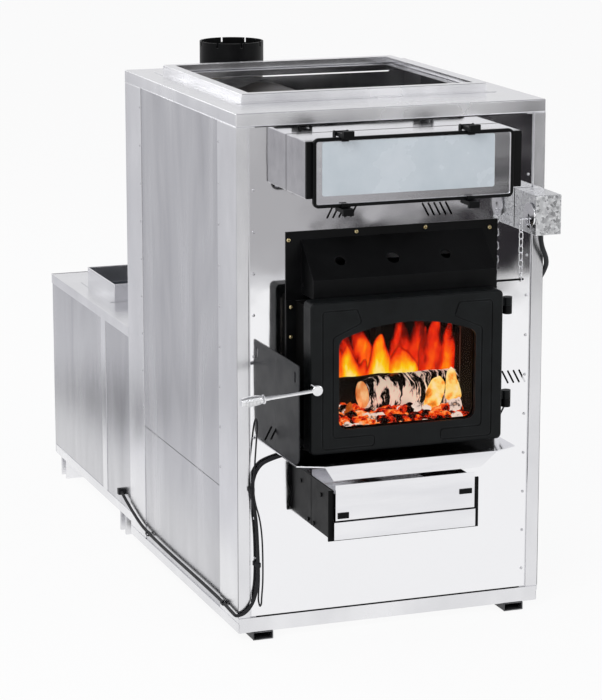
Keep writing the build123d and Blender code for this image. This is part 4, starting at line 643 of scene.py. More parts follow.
def tube(build, path, radius, sides, closed=False):
    """Add a round tube along points to a bmesh; radius may be a function of the point's index."""
    count = len(path)
    rings, side = [], None
    for i, spot in enumerate(path):
        if closed:
            ahead, behind = path[(i + 1) % count], path[i - 1]
        else:
            ahead, behind = path[min(i + 1, count - 1)], path[max(i - 1, 0)]
        along = (ahead - behind).normalized()
        if side is None:
            side = along.orthogonal().normalized()
        side = (side - along * side.dot(along)).normalized()
        other = along.cross(side)
        r = radius(i) if callable(radius) else radius
        rings.append([
            build.verts.new(spot + r * turned(math.tau * k / sides, side, other))
            for k in range(sides)
        ])
    if closed:
        rings.append(rings[0])
    for near, far in zip(rings, rings[1:]):
        shift = 0
        if closed and far is rings[0]:
            # The last ring joins the first at whichever corner is nearest
            shift = min(range(sides), key=lambda s: (near[0].co - far[s].co).length)
        for k in range(sides):
            j = (k + 1) % sides
            build.faces.new((
                near[k], near[j], far[(k + 1 + shift) % sides], far[(k + shift) % sides]
            ))
    if not closed:
        build.faces.new(rings[0][::-1])
        build.faces.new(rings[-1])


def islands(node):
    """The centre and half sizes of each separate solid in a CAD node."""
    build = merged(node)
    found, seen = [], set()
    for start in build.verts:
        if start in seen:
            continue
        seen.add(start)
        group, queue = [start], [start]
        while queue:
            for line in queue.pop().link_edges:
                for v in line.verts:
                    if v not in seen:
                        seen.add(v)
                        group.append(v)
                        queue.append(v)
        low = Vector([min(v.co[k] for v in group) for k in range(3)])
        high = Vector([max(v.co[k] for v in group) for k in range(3)])
        found.append(((low + high) / 2, (high - low) / 2))
    build.free()
    return found


def seats(node):
    """Where each head of a node sits on its sheet, and which way it faces."""
    spots = []
    for centre, half in islands(node):
        axis = min(range(3), key=lambda k: half[k])
        facing = Vector((0, 0, 0))
        facing[axis] = -1.0 if axis == 1 or centre.x < MID_X else 1.0
        spots.append((centre - facing * half[axis], facing))
    return spots


# ---------------------------------------------------------------- Geometry Nodes
def group(name, inputs):
    """A Geometry Nodes group: the tree, its inputs' identifiers, and the inputs themselves."""
    tree = bpy.data.node_groups.new(name, "GeometryNodeTree")
    ids = {
        key: tree.interface.new_socket(
            name=key, in_out="INPUT", socket_type="NodeSocket" + kind
        ).identifier
        for key, kind in inputs.items()
    }
    tree.interface.new_socket(name="Result", in_out="OUTPUT", socket_type="NodeSocketGeometry")
    return tree, ids, add(tree, "NodeGroupInput").node.outputs


def end_group(tree, shape, look):
    """End a group: make its instances real, give them their material and hand them out."""
    real = add(tree, "GeometryNodeRealizeInstances", {"Geometry": shape})
    done = add(tree, "GeometryNodeSetMaterial", {"Geometry": real, "Material": look})
    add(tree, "NodeGroupOutput", {0: done})


def grown(made, tree, ids, values):
    """Run a group on an object with these inputs, and leave a plain mesh."""
    nodes = made.modifiers.new(tree.name, "NODES")
    nodes.node_group = tree
    for key, value in values.items():
        nodes[ids[key]] = value
    return settle(made)


def heads_tree():
    """A node group that puts one head on every point, facing out, with a random turn."""
    tree, ids, given = group("Heads on points", {
        "Points": "Geometry", "Head": "Object", "Size": "Float", "Turn": "Float",
        "Finish": "Material",
    })
    head = add(tree, "GeometryNodeObjectInfo", {"Object": given["Head"]}, "Geometry")
    facing = add(
        tree, "GeometryNodeInputNamedAttribute", {"Name": "facing"}, "Attribute",
        data_type="FLOAT_VECTOR",
    )
    aimed = add(tree, "FunctionNodeAlignRotationToVector", {"Vector": facing}, axis="Z")
    placed = add(
        tree, "GeometryNodeInstanceOnPoints",
        {"Points": given["Points"], "Instance": head, "Rotation": aimed, "Scale": given["Size"]},
    )
    angle = add(
        tree, "FunctionNodeRandomValue", {2: 0.0, 3: given["Turn"], "Seed": 7}, 1,
        data_type="FLOAT",
    )
    spin = add(tree, "CombineXYZ", {"Z": angle})
    spun = add(
        tree, "GeometryNodeRotateInstances",
        {"Instances": placed, "Rotation": spin, "Local Space": True},
    )
    end_group(tree, spun, given["Finish"])
    return tree, ids


def chain_tree():
    """A node group that hangs links along a line, each a quarter turn from the last.

    The links between the two ends hang turned by the twist.
    """
    tree, ids, given = group("Hanging links", {
        "Link": "Object", "Count": "Int", "First": "Vector", "Step": "Vector",
        "Twist": "Float", "Finish": "Material",
    })
    line = add(
        tree, "GeometryNodeMeshLine",
        {"Count": given["Count"], "Start Location": given["First"], "Offset": given["Step"]},
    )
    link = add(tree, "GeometryNodeObjectInfo", {"Object": given["Link"]}, "Geometry")
    index = add(tree, "GeometryNodeInputIndex")
    odd = add(tree, "Math", {0: index, 1: 2.0}, operation="MODULO")
    quarter = add(tree, "Math", {0: odd, 1: math.pi / 2}, operation="MULTIPLY")
    left = add(tree, "Math", {0: given["Count"], 1: index}, operation="SUBTRACT")
    after = add(tree, "Math", {0: index, 1: 0.5}, operation="GREATER_THAN")
    before = add(tree, "Math", {0: left, 1: 1.5}, operation="GREATER_THAN")
    between = add(tree, "Math", {0: after, 1: before}, operation="MULTIPLY")
    angle = add(tree, "Math", {0: between, 1: given["Twist"], 2: quarter}, operation="MULTIPLY_ADD")
    turn = add(tree, "CombineXYZ", {"Z": angle})
    hung = add(
        tree, "GeometryNodeInstanceOnPoints",
        {"Points": line, "Instance": link, "Rotation": turn},
    )
    end_group(tree, hung, given["Finish"])
    return tree, ids


# ---------------------------------------------------------------- what a user may change
class FurnaceSizes(bpy.types.PropertyGroup):
    fold_radius: bpy.props.FloatProperty(
        name="Fold radius", description="Outer radius of the cabinet's folded edges",
        default=2.4 * MM, min=0.0, subtype="DISTANCE", unit="LENGTH",
    )
    cut_edge: bpy.props.FloatProperty(
        name="Cut edge", description="Rounding of a cut sheet edge",
        default=0.35 * MM, min=0.0, subtype="DISTANCE", unit="LENGTH",
    )
    flame_height: bpy.props.FloatProperty(
        name="Flame height", description="Height of the flames over the logs",
        default=0.21, min=0.0, subtype="DISTANCE", unit="LENGTH",
    )
    floor_size: bpy.props.FloatProperty(
        name="Floor size", description="Width of the studio floor",
        default=60.0, min=1.0, subtype="DISTANCE", unit="LENGTH",
    )


class FurnaceColours(bpy.types.PropertyGroup):
    floor: bpy.props.FloatVectorProperty(
        name="Floor", description="Colour of the studio floor",
        default=linear("#f6f6f6"), size=4, subtype="COLOR", min=0.0, max=1.0,
    )
    room: bpy.props.FloatVectorProperty(
        name="Room", description="Colour that the room casts on the furnace",
        default=linear("#fbfbff"), size=4, subtype="COLOR", min=0.0, max=1.0,
    )


class FurnaceStep:
    """What the furnace's operators share."""

    bl_options = {"REGISTER", "UNDO"}

    def execute(self, context):
        self.make(context.scene.furnace_sizes, context.scene.furnace_colours)
        return {"FINISHED"}


class FURNACE_OT_cabinet(FurnaceStep, bpy.types.Operator):
    """Cabinet sheets with rounded folds: skids, floor pan, posts, roof, side and rear sheets"""

    bl_idname = "furnace.cabinet"
    bl_label = "Cabinet"

    def make(self, sizes, colours):
        fold, edge = sizes.fold_radius, sizes.cut_edge
        for node in ("base_pan", "corner_posts", "top_deck", "plenum_collar"):
            dress(node, fold, edge)
        plain("rear_panel")
        dress("side_panels", 0.0, edge)
        plain("front_panel")
        dress("skid_rails", fold, edge)


class FURNACE_OT_heads(FurnaceStep, bpy.types.Operator):
    """Domed rivets along the panels and pan-head screws on the black fronts"""

    bl_idname = "furnace.heads"
    bl_label = "Rivets and screws"

    def make(self, sizes, colours):
        head_tree = heads_tree()
        for name, node, look, sides, profile in (
            ("panel_rivet_heads", "panel_rivets", "rivet_steel", 16, (
                (3.6, 0.0), (3.5, 0.45), (3.0, 0.95), (2.1, 1.35), (1.0, 1.55), (0.0, 1.6),
            )),
            ("manifold_screw_heads", "manifold_screws", "yellow_zinc", 20, (
                (5.0, 0.0), (5.0, 0.9), (4.7, 1.8), (4.0, 2.5), (3.0, 2.95),
                (2.2, 3.0), (1.9, 2.2), (1.2, 1.4), (0.0, 1.2),
            )),
        ):
            spots = seats(node)
            mesh = bpy.data.meshes.new(name)
            mesh.from_pydata([place for place, _ in spots], [], [])
            facing = mesh.attributes.new("facing", "FLOAT_VECTOR", "POINT")
            for item, (_, way) in zip(facing.data, spots):
                item.vector = way
            head = lathe(name + "_pattern", profile, sides)
            heads = grown(piece(name, mesh), *head_tree, {
                "Head": head, "Size": 1.0, "Turn": 6.28, "Finish": finish(look),
            })
            bpy.data.objects.remove(head)
            hand_over(smooth(heads, 40), "cabinet", "rivet_steel", [node])


class FURNACE_OT_firebox(FurnaceStep, bpy.types.Operator):
    """Firebox, bricks, grate, exchanger and flue"""

    bl_idname = "furnace.firebox"
    bl_label = "Firebox and exchanger"

    def make(self, sizes, colours):
        for node in (
            "firebox_shell", "smoke_uptake", "exchanger_header", "exchanger_tubes",
            "exchanger_drum", "flue_elbow",
        ):
            dress(node, 1.5 * MM, 0.5 * MM, thin=8 * MM)
        dress("loading_throat", 1.5 * MM, 0.5 * MM, thin=8 * MM, material=finish("sooty_paint"))
        dress("firebrick_lining", 2.0 * MM, 2.0 * MM)
        dress("fire_grate", 1.2 * MM, 1.2 * MM)
        dress("flue_collar", 0.8 * MM, 0.8 * MM)


class FURNACE_OT_fire(FurnaceStep, bpy.types.Operator):
    """Burning birch log on a heap of embers, with flames behind it"""

    bl_idname = "furnace.fire"
    bl_label = "Fire"

    def log(self, name, material, cap, start, end, radius, seed, taper, knobs):
        """A log between two places, its near end sawn flat; knobs is how rough its bark is."""
        along = (end - start).normalized()
        side = along.orthogonal().normalized()
        other = along.cross(side)
        build = bmesh.new()
        rings, sides = 30, 28
        coarse, close = 16, 70  # knobs and wrinkles to the metre
        grid = []
        for i in range(rings + 1):
            share = i / rings
            spot = start.lerp(end, share)
            girth = radius * (0.80 + 0.20 * min(1, 6 * share)) * (1 - taper * share)
            if taper:
                # A split ends in a blunt, uneven tip at both ends
                girth *= max(0.12, 1 - abs(2 * share - 1) ** 6)
            ring = []
            for k in range(sides):
                way = turned(math.tau * k / sides, side, other)
                rough = noise.noise((spot + way * radius) * coarse + Vector((seed, 0, 0)))
                fine = noise.noise((spot + way * radius) * close + Vector((0, seed, 0)))
                ring.append(build.verts.new(
                    spot + way * girth * (1 + knobs * rough + 0.3 * knobs * fine)
                ))
            grid.append(ring)
        skin(build, grid, around=True)
        face = build.faces.new(grid[0][::-1])
        build.faces.new(grid[-1])
        bmesh.ops.inset_region(build, faces=[face], thickness=radius * 0.13)
        face.material_index = 1
        made = smooth(poured(name, build), 50)
        made.data.materials.append(finish(material))
        made.data.materials.append(finish(cap))
        hand_over(made, "cabinet", "grate_iron")

    def heated(self, made, heats):
        """Keep a heat for each vertex in a UV map that the fire's materials read."""
        layer = made.data.uv_layers.new(name="heat")
        corners = [0.0] * (2 * len(made.data.loops))
        for corner in made.data.loops:
            corners[2 * corner.index] = heats[corner.vertex_index]
        layer.uv.foreach_set("vector", corners)

    def flames(self, name, y, foot, tongues, seed):
        """A standing sheet of flame; each tongue is (foot, tip, top, half width, heat)."""
        left = min(min(t[0], t[1]) - t[3] for t in tongues)
        right = max(max(t[0], t[1]) + t[3] for t in tongues)
        top = max(t[2] for t in tongues)
        columns, rows = 130, 90
        build = bmesh.new()
        heats, grid = [], []
        for i in range(columns + 1):
            column = []
            x = left + (right - left) * i / columns
            for j in range(rows + 1):
                z = foot + (top + 10 - foot) * j / rows
                # Ripples and bends of a tongue, over lengths in millimetres
                turbulent = noise.fractal(Vector((x / 34, z / 70 + seed, seed)), 0.9, 2.1, 4)
                bend = 7 * noise.noise(Vector((x / 60, z / 40, seed + 5)))
                heat = 0.0
                for low, tip, high, half, hot in tongues:
                    rise = (z - foot) / (high - foot)
                    if rise >= 1:
                        continue
                    middle = low + (tip - low) * rise ** 1.3 + bend * rise
                    width = half * (1 - rise ** 1.6) ** 0.8 + 2
                    off = (x - middle) / width
                    if abs(off) < 1:
                        heat = max(heat, hot * (1 - off * off) ** 0.55 * (1 - 0.55 * rise ** 1.4))
                heat += 0.24 * turbulent * min(1.0, 4 * heat)
                heats.append(max(0.0, min(1.2, heat)))
                place = cab(x, y + 7 * math.sin(x / 31 + z / 55 + seed), z)
                column.append(build.verts.new(place))
            grid.append(column)
        skin(build, grid)
        made = smooth(poured(name, build, outward=False), ROUND)
        self.heated(made, heats)
        hand_over(made, "cabinet", "grate_iron", material=finish("flame_glow"))

    def lump(self, build, heats, place, size, stretch, heat, seed):
        """Add one dented ember to a bmesh and note its heat."""
        left, right, floor, end = 147, 580, 469.6, 68  # of the door's throat
        made = bmesh.ops.create_icosphere(build, subdivisions=2, radius=1.0)["verts"]
        for v in made:
            dent = 1 + 0.45 * noise.noise(v.co * 1.4 + Vector((seed, 0, seed)))
            spot = Vector(place) + Vector([v.co[k] * stretch[k] for k in range(3)]) * size * dent
            if spot.y < end:
                # Here the lump lies on the throat's floor, between its sides
                spot.z = max(spot.z, floor)
                spot.x = min(max(spot.x, left), right)
            v.co = cab(*spot)
        heats.extend([heat] * len(made))

    def embers(self):
        """Lumps of ember heaped from the door's throat back over the grate, in one mesh."""
        rng = random.Random(11)
        build = bmesh.new()
        heats = []
        rows, deep, wide, stray = 16, 21, 22, 6
        for row in range(rows):
            y = deep * row - 34
            left, right = (176, 590) if y > 78 else (166, 562)
            crest = 466 + min(16, max(0, (y + 40) * 0.16)) - 0.05 * max(0, y - 100)
            for column in range(int((right - left) / wide) + 1):
                place = (
                    left + wide * column + rng.uniform(-stray, stray),
                    y + rng.uniform(-stray, stray), crest + rng.uniform(-4, 7),
                )
                stretch = (rng.uniform(0.9, 1.6), rng.uniform(0.8, 1.2), rng.uniform(0.6, 1.0))
                heat = rng.choice((-0.12, 0.0, 0.06, 0.12, 0.12, 0.18, 0.24, 0.40, 0.46))
                size, seed = rng.uniform(9, 15), rng.uniform(0, 90)
                self.lump(build, heats, place, size, stretch, heat, seed)
        # The lumps that stand out at the window's lower edge
        for x, y, z, size, *stretch, heat in (
            (322, 38, 478, 14, 1.5, 0.9, 0.9, 0.19), (292, 30, 474, 11, 0.9, 0.9, 0.9, 0.04),
            (364, 44, 482, 13, 1.6, 0.9, 0.8, 0.47), (404, 48, 484, 15, 1.7, 0.9, 0.7, 0.14),
            (436, 56, 489, 13, 1.2, 0.9, 0.9, 0.08), (462, 50, 489, 14, 0.9, 0.8, 1.3, 0.50),
            (488, 44, 480, 10, 1.1, 0.9, 0.9, -0.1), (534, 40, 488, 13, 1.3, 0.9, 1.0, 0.12),
            (556, 34, 494, 15, 1.1, 0.8, 1.4, 0.44), (246, 26, 472, 12, 1.2, 1.0, 0.9, 0.10),
            (205, 20, 474, 13, 1.3, 1.0, 0.9, 0.44),
        ):
            self.lump(build, heats, (x, y, z), size, stretch, heat, x * 0.37)
        # A mound of ash and small coals carries the heap inside the firebox
        grid = []
        across, along, floor = 44, 29, 428
        for i in range(across + 1):
            x = 158 + 447 * i / across
            column = []
            for j in range(along + 1):
                y = 70 + 240 * j / along
                hump = 462 - 0.07 * (y - 70) + 9 * noise.noise(Vector((x / 18, y / 18, 3.0)))
                edge = min(1.0, i / 2, (across - i) / 2, j, (along - j) / 3)
                column.append(build.verts.new(cab(x, y, floor + (hump - floor) * edge)))
                heats.append(0.05)
            grid.append(column)
        skin(build, grid)
        lumps = poured("fire_embers", build, outward=False)
        self.heated(lumps, heats)
        hand_over(lumps, "cabinet", "grate_iron", material=finish("ember_bed"))

    def make(self, sizes, colours):
        tall = sizes.flame_height / 0.21
        self.embers()
        for name, look, cap, start, end, radius, seed, taper, knobs in (
            ("fire_log_main", "birch_bark", "cut_wood",
             (350, 112, 520), (600, 150, 514), 0.041, 1.0, 0.0, 0.10),
            ("fire_log_left", "birch_bark", "char",
             (296, 138, 503), (196, 226, 490), 0.034, 5.0, 0.0, 0.10),
            ("fire_log_back", "char", "char",
             (206, 178, 512), (470, 196, 512), 0.034, 4.0, 0.0, 0.10),
            ("fire_split_hot", "hot_split", "hot_split",
             (505, 76, 462), (538, 86, 556), 0.019, 7.0, 0.2, 0.45),
            ("fire_split_right", "hot_split", "hot_split",
             (562, 46, 498), (556, 62, 582), 0.020, 9.0, 0.3, 0.5),
            ("fire_split_left", "glowing_stick", "glowing_stick",
             (284, 54, 462), (304, 70, 516), 0.0095, 3.0, 0.3, 0.3),
        ):
            self.log(name, look, cap, cab(*start), cab(*end), radius, seed, taper, knobs)
        foot = 524
        # Red flames at the back, yellow ones before them, and the red column beside the log
        for name, y, seed, tongues in (
            ("fire_flames_back", 262, 3.0, (
                (372, 356, 668, 30, 0.52), (430, 384, 672, 34, 0.55), (500, 508, 668, 44, 0.42),
                (545, 566, 676, 40, 0.46), (330, 330, 650, 26, 0.50),
            )),
            ("fire_flames_middle", 225, 8.0, (
                (360, 350, 616, 34, 0.98), (386, 398, 578, 24, 0.72), (440, 442, 636, 36, 1.06),
                (505, 488, 602, 44, 1.06), (556, 520, 556, 40, 0.92), (330, 320, 640, 22, 0.70),
            )),
            ("fire_flames_column", 160, 5.0, (
                (548, 556, 694, 34, 0.54), (584, 590, 676, 26, 0.60), (526, 530, 664, 14, 0.50),
            )),
        ):
            raised = [(a, b, foot + (z - foot) * tall, w, hot) for a, b, z, w, hot in tongues]
            self.flames(name, y, foot, raised, seed)


class FURNACE_OT_door(FurnaceStep, bpy.types.Operator):
    """Loading door: casting, surround, hinges, glass, retainer and rope gasket"""

    bl_idname = "furnace.door"
    bl_label = "Loading door"

    def make(self, sizes, colours):
        plain("door_casting")
        dress("door_surround", 1.0 * MM, 0.5 * MM)
        dress("door_hinges", 1.0 * MM, 0.8 * MM)
        dress("glass_retainer", 0.5 * MM, 0.5 * MM)
        # The latch plate's paint is a shade lighter than the black, as a painted sheen
        dress("latch_plate", 0.8 * MM, 0.5 * MM, material=finish("painted_sheen_black"))
        glass = frame["nodes"]["door_glass"].data.materials
        glass.clear()
        glass.append(finish(SLOT_OF["door_glass"]))
        low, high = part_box("door_gasket")
        thick = high.y - low.y
        middle = (low + high) / 2
        half_w, half_h = (high.x - low.x - thick) / 2, (high.z - low.z - thick) / 2
        corner = 20 * MM
        loop = []
        for cx, cz, start in (
            (half_w - corner, -half_h + corner, -90), (half_w - corner, half_h - corner, 0),
            (-half_w + corner, half_h - corner, 90), (-half_w + corner, -half_h + corner, 180),
        ):
            for k in range(9):
                angle = math.radians(start + 90 * k / 8)
                loop.append(Vector((
                    middle.x + cx + corner * math.cos(angle), middle.y,
                    middle.z + cz + corner * math.sin(angle),
                )))
        even, step = [], 2.5 * MM
        for here, there in zip(loop, loop[1:] + loop[:1]):
            count = max(1, round((there - here).length / step))
            even += [here.lerp(there, k / count) for k in range(count)]
        strands, turns, inward = 4, 70, Vector((0, 1, 0))
        build = bmesh.new()
        for strand in range(strands):
            path = []
            for k, spot in enumerate(even):
                ahead = even[(k + 1) % len(even)]
                along = (ahead - even[k - 1]).normalized()
                angle = math.tau * (turns * k / len(even) + strand / strands)
                path.append(spot + 2.6 * MM * turned(angle, inward.cross(along), inward))
            tube(build, path, 2.8 * MM, 6, closed=True)
        rope = smooth(poured("door_rope", build), ROUND)
        hand_over(rope, "loading_door", "rope_grey", ["door_gasket"])


class FURNACE_OT_handle(FurnaceStep, bpy.types.Operator):
    """Chrome handle with its coiled wire grip"""

    bl_idname = "furnace.handle"
    bl_label = "Handle"

    def make(self, sizes, colours):
        dress("handle_lever", 0.8 * MM, 0.6 * MM, thin=2 * MM)
        low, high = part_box("handle_spring")
        dip = math.radians(4.5)
        along = Vector((-math.cos(dip), 0, -math.sin(dip)))
        middle = (low + high) / 2
        length = (high.x - low.x) / math.cos(dip) - 3 * MM
        side, other = Vector((0, 1, 0)), along.cross(Vector((0, 1, 0)))
        turns, per = 15, 22
        points = []
        for k in range(turns * per + 1):
            share = k / (turns * per)
            bulge = math.sin(math.pi * share) ** 0.6
            radius = (7.6 + 3.3 * bulge) * MM
            angle = math.tau * k / per
            points.append(
                middle + along * (share - 0.5) * (length - 2 * MM)
                + radius * turned(angle, side, other)
            )
        build = bmesh.new()
        tube(build, points, 1.45 * MM, 8)
        grip = smooth(poured("handle_coil_grip", build), ROUND)
        hand_over(grip, "door_handle", "bright_chrome", ["handle_spring"])


class FURNACE_OT_draft(FurnaceStep, bpy.types.Operator):
    """Air manifold, its damper, the draft control box, crank wheel and lift chain"""

    bl_idname = "furnace.draft"
    bl_label = "Draft control"

    def make(self, sizes, colours):
        plain("air_manifold")
        plain("damper_flap")
        dress("control_box", 1.6 * MM, 0.4 * MM, material=finish("galvanised"))
        dress("draft_motor", 2.5 * MM, 1.0 * MM)
        dress("chain_wheel", 0.6 * MM, 0.4 * MM, thin=2 * MM)
        low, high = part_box("draft_chain")
        count, wire = 9, 2.4 * MM
        middle = (low + high) / 2
        # Links share their wire's width where they hook into each other
        length = (high.z - low.z + (count - 1) * (2 * wire + 0.25 * MM)) / count
        width = 10.8 * MM / 2
        straight = length / 2 - wire / 2 - width
        outline = []
        for start, lift in ((0, straight), (180, -straight)):
            for k in range(9):
                angle = math.radians(start + 180 * k / 8)
                outline.append(Vector((width * math.cos(angle), 0, lift + width * math.sin(angle))))
        build = bmesh.new()
        tube(build, outline, wire / 2, 8, closed=True)
        link = poured("link_pattern", build)
        smooth(link, ROUND)
        pitch = (high.z - low.z - length) / (count - 1)
        made = grown(piece("lift_chain_links", bpy.data.meshes.new("links")), *chain_tree(), {
            "Link": link, "Count": count, "First": (middle.x, middle.y, high.z - length / 2),
            "Step": (0, 0, -pitch), "Twist": math.radians(25), "Finish": finish("polished_steel"),
        })
        # The first link lies across the crank pin
        there = Matrix.Translation(middle)
        made.data.transform(there @ Matrix.Rotation(math.pi / 2, 4, "Z") @ there.inverted())
        bpy.data.objects.remove(link)
        smooth(made, ROUND)
        hand_over(made, "draft_chain", "polished_steel", ["draft_chain"])


class FURNACE_OT_hatch(FurnaceStep, bpy.types.Operator):
    """Clean-out box, its cover with the bare plate, and the four clamps"""

    bl_idname = "furnace.hatch"
    bl_label = "Clean-out hatch"

    def make(self, sizes, colours):
        box = dress("hatch_box", 1.2 * MM, 0.5 * MM)
        # The box's front flange and the clamps' ears are painted; its sheet is bare
        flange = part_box("hatch_box")[0].y + 8 * MM
        sheet_low, sheet_high = cab(0, 0, 1040).z - 0.2 * MM, cab(0, 0, 1168).z + 0.2 * MM
        painted(
            box, ((1, flange), (2, sheet_low), (2, sheet_high)),
            lambda p: p.y < flange or not sheet_low < p.z < sheet_high,
        )
        cover = dress("hatch_cover", 1.2 * MM, 0.5 * MM)
        low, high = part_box("hatch_cover")
        # The cover's black outer rim is a painted dark reflection of its rolled, polished edge
        dark_reflection_rim, keeper = 7 * MM, low.y + 8.6 * MM
        painted(
            cover,
            ((0, low.x + dark_reflection_rim), (0, high.x - dark_reflection_rim), (2, low.z + dark_reflection_rim), (2, high.z - dark_reflection_rim), (1, keeper)),
            lambda p: p.y < keeper
            or min(p.x - low.x, high.x - p.x, p.z - low.z, high.z - p.z) < dark_reflection_rim,
        )
        dress("badge_plate", 0.5 * MM, 0.4 * MM)
        for number in range(1, 5):
            dress(f"hatch_clamp_{number}", 1.0 * MM, 0.6 * MM, holes=False)


class FURNACE_OT_hearth(FurnaceStep, bpy.types.Operator):
    """Hearth shelf, ash box, ash flap and ash drawer"""

    bl_idname = "furnace.hearth"
    bl_label = "Hearth and ash drawer"

    def make(self, sizes, colours):
        dress("hearth_shelf", 1.2 * MM, 0.4 * MM)
        dress("ash_box", 1.0 * MM, 0.4 * MM)
        flap = dress("ash_flap", 0.8 * MM, 0.4 * MM, holes=False)
        # The two grip tabs on the flap's face and the arms behind it are painted
        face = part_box("ash_flap")[0].y + 2 * MM
        tabs, arms = face - 0.05 * MM, face + 3 * MM
        painted(flap, ((1, tabs), (1, arms)), lambda p: p.y < tabs or p.y > arms)
        dress("ash_drawer", 0.9 * MM, 0.4 * MM)


class FURNACE_OT_return_box(FurnaceStep, bpy.types.Operator):
    """Return-air box: tray, sides, lid, collar and service door"""

    bl_idname = "furnace.return_box"
    bl_label = "Return-air box"

    def make(self, sizes, colours):
        fold, edge = sizes.fold_radius, sizes.cut_edge
        for node in ("return_box_base", "return_box_lid", "return_collar"):
            dress(node, fold, edge)
        dress("return_box_sides", 0.0, edge)
        plain("service_door")
        # Flat cover strips: one along the foot of each side and one over its seam
        low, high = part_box("return_box_sides")
        lid_low, lid_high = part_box("return_box_lid")
        front, foot = cab(0, 876, 0).y, low.z
        seam, half, tall = front + 239 * MM, 20 * MM, 24 * MM
        thick, gap = 1.6 * MM, 0.1 * MM
        build = bmesh.new()
        for left in (lid_low.x + gap, lid_high.x - gap - thick):
            for near, far, under, over in (
                (front, high.y - 16 * MM, foot, foot + tall),
                (seam - half, seam + half, foot + tall, lid_low.z),
            ):
                bar(build, Vector((left, near, under)), Vector((left + thick, far, over)))
        bmesh.ops.bevel(
            build, geom=build.edges[:], offset=0.35 * MM, segments=2, profile=0.5, affect="EDGES"
        )
        strips = even_normals(poured("box_cover_strips", build))
        hand_over(strips, "cabinet", "sheet_steel")


class FURNACE_OT_blower(FurnaceStep, bpy.types.Operator):
    """Blower housing, motor and wheel, and the filter on its rails"""

    bl_idname = "furnace.blower"
    bl_label = "Blower and filter"

    def make(self, sizes, colours):
        dress("blower_housing", 1.0 * MM, 0.4 * MM)
        dress("blower_motor", 1.5 * MM, 0.8 * MM, thin=6 * MM)
        dress("blower_wheel", 0.0, 0.3 * MM, thin=2 * MM)
        dress("filter_rails", 0.0, 0.3 * MM)
        dress("filter_frame", 0.5 * MM, 0.5 * MM)
        low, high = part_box("filter_media")
        count = round((high.x - low.x) / (12 * MM))
        build = bmesh.new()
        rows = []
        for k in range(2 * count + 1):
            x = low.x + (high.x - low.x) * k / (2 * count)
            y = low.y if k % 2 else high.y
            rows.append([build.verts.new((x, y, z)) for z in (low.z, high.z)])
        skin(build, rows)
        pleats = poured("filter_pleats", build)
        wall = pleats.modifiers.new("thickness", "SOLIDIFY")
        wall.thickness = 1.2 * MM
        wall.offset = 0.0
        settle(pleats)
        for v in pleats.data.vertices:
            v.co.y = min(max(v.co.y, low.y), high.y)
            v.co.x = min(max(v.co.x, low.x), high.x)
        hand_over(smooth(pleats, 30), "air_filter", "filter_pad", ["filter_media"])


THICK_ROUTE = (
    (118, -7, 425), (68, -7, 416), (43, -7, 395), (33, -7, 362), (31, -7, 333), (44, -7, 270),
    (47, -7, 133), (38, -7, 81), (17, -7, 52), (-7, -7, 46), (-7, 17, 46), (-7, 130, 53),
    (-7, 697, 49), (-7, 828, 68), (-7, 935, 98),
)
THIN_ROUTE = (
    (46, 1.4, 512), (46, -9, 507), (42, -12, 470), (34, -17, 385), (32, -17, 330),
    (54, -14, 262), (58, -10, 133), (54, -9, 84), (54, -8, 68), (54, 1.4, 62),
)
CONDUIT_ROUTE = (
    (742, -25, 918), (742, -25, 884), (768, -13, 838), (769, 12, 806), (769, 42, 780),
    (769, 74, 772),
)


class FURNACE_OT_wiring(FurnaceStep, bpy.types.Operator):
    """The two sensor leads down the front corner, their clips, and the ribbed conduit"""

    bl_idname = "furnace.wiring"
    bl_label = "Wiring"

    def spline(self, name, route, radius):
        """A smooth cord on a route's points."""
        curve = bpy.data.curves.new(name, "CURVE")
        curve.dimensions = "3D"
        curve.resolution_u = 16
        line = curve.splines.new("NURBS")
        line.points.add(len(route) - 1)
        for point, place in zip(line.points, route):
            point.co = (*cab(*place), 1.0)
        line.order_u = 3
        line.use_endpoint_u = True
        curve.bevel_depth = radius
        curve.bevel_resolution = 4
        curve.use_fill_caps = True
        return piece(name, curve)

    def make(self, sizes, colours):
        thick = self.spline("sensor_lead_thick", THICK_ROUTE, 4.0 * MM)
        hand_over(thick, "cabinet", "cable_black", ["wiring_loom"])
        thin = self.spline("sensor_lead_thin", THIN_ROUTE, 2.0 * MM)
        hand_over(thin, "cabinet", "cable_black", ["wiring_loom"])
        dress("wiring_clips", 0.6 * MM, 0.5 * MM, thin=2 * MM)
        line = self.spline("conduit_line", CONDUIT_ROUTE, 0.0)
        graph = bpy.context.evaluated_depsgraph_get()
        drawn = bpy.data.meshes.new_from_object(line.evaluated_get(graph))
        path = [v.co.copy() for v in drawn.vertices]
        bpy.data.objects.remove(line)
        walked = [0.0]
        for here, there in zip(path, path[1:]):
            walked.append(walked[-1] + (there - here).length)
        total, rib = walked[-1], 3.0 * MM
        count = round(total / rib) * 4
        even = []
        for k in range(count + 1):
            aim = total * k / count
            i = max(j for j in range(len(walked) - 1) if walked[j] <= aim + 1e-9)
            share = (aim - walked[i]) / max(walked[i + 1] - walked[i], 1e-9)
            even.append(path[i].lerp(path[i + 1], min(share, 1.0)))
        build = bmesh.new()
        # Each rib takes four rings: its crest, a shoulder, the groove and a shoulder
        depth = (1.0, 0.97, 0.88, 0.97)
        tube(build, even, lambda k: 6.0 * MM * depth[k % 4], 20)
        conduit = smooth(poured("ribbed_conduit", build), ROUND)
        build = bmesh.new()
        bar(build, cab(762, 71, 756), cab(775, 110, 788))
        gland = poured("conduit_gland", build)
        bevel = gland.modifiers.new("soft edges", "BEVEL")
        bevel.width = 4 * MM
        bevel.segments = 4
        settle(gland)
        smooth(gland)
        hand_over(gland, "cabinet", "conduit_grey", ["control_cable"])
        hand_over(conduit, "cabinet", "conduit_grey", ["control_cable"])


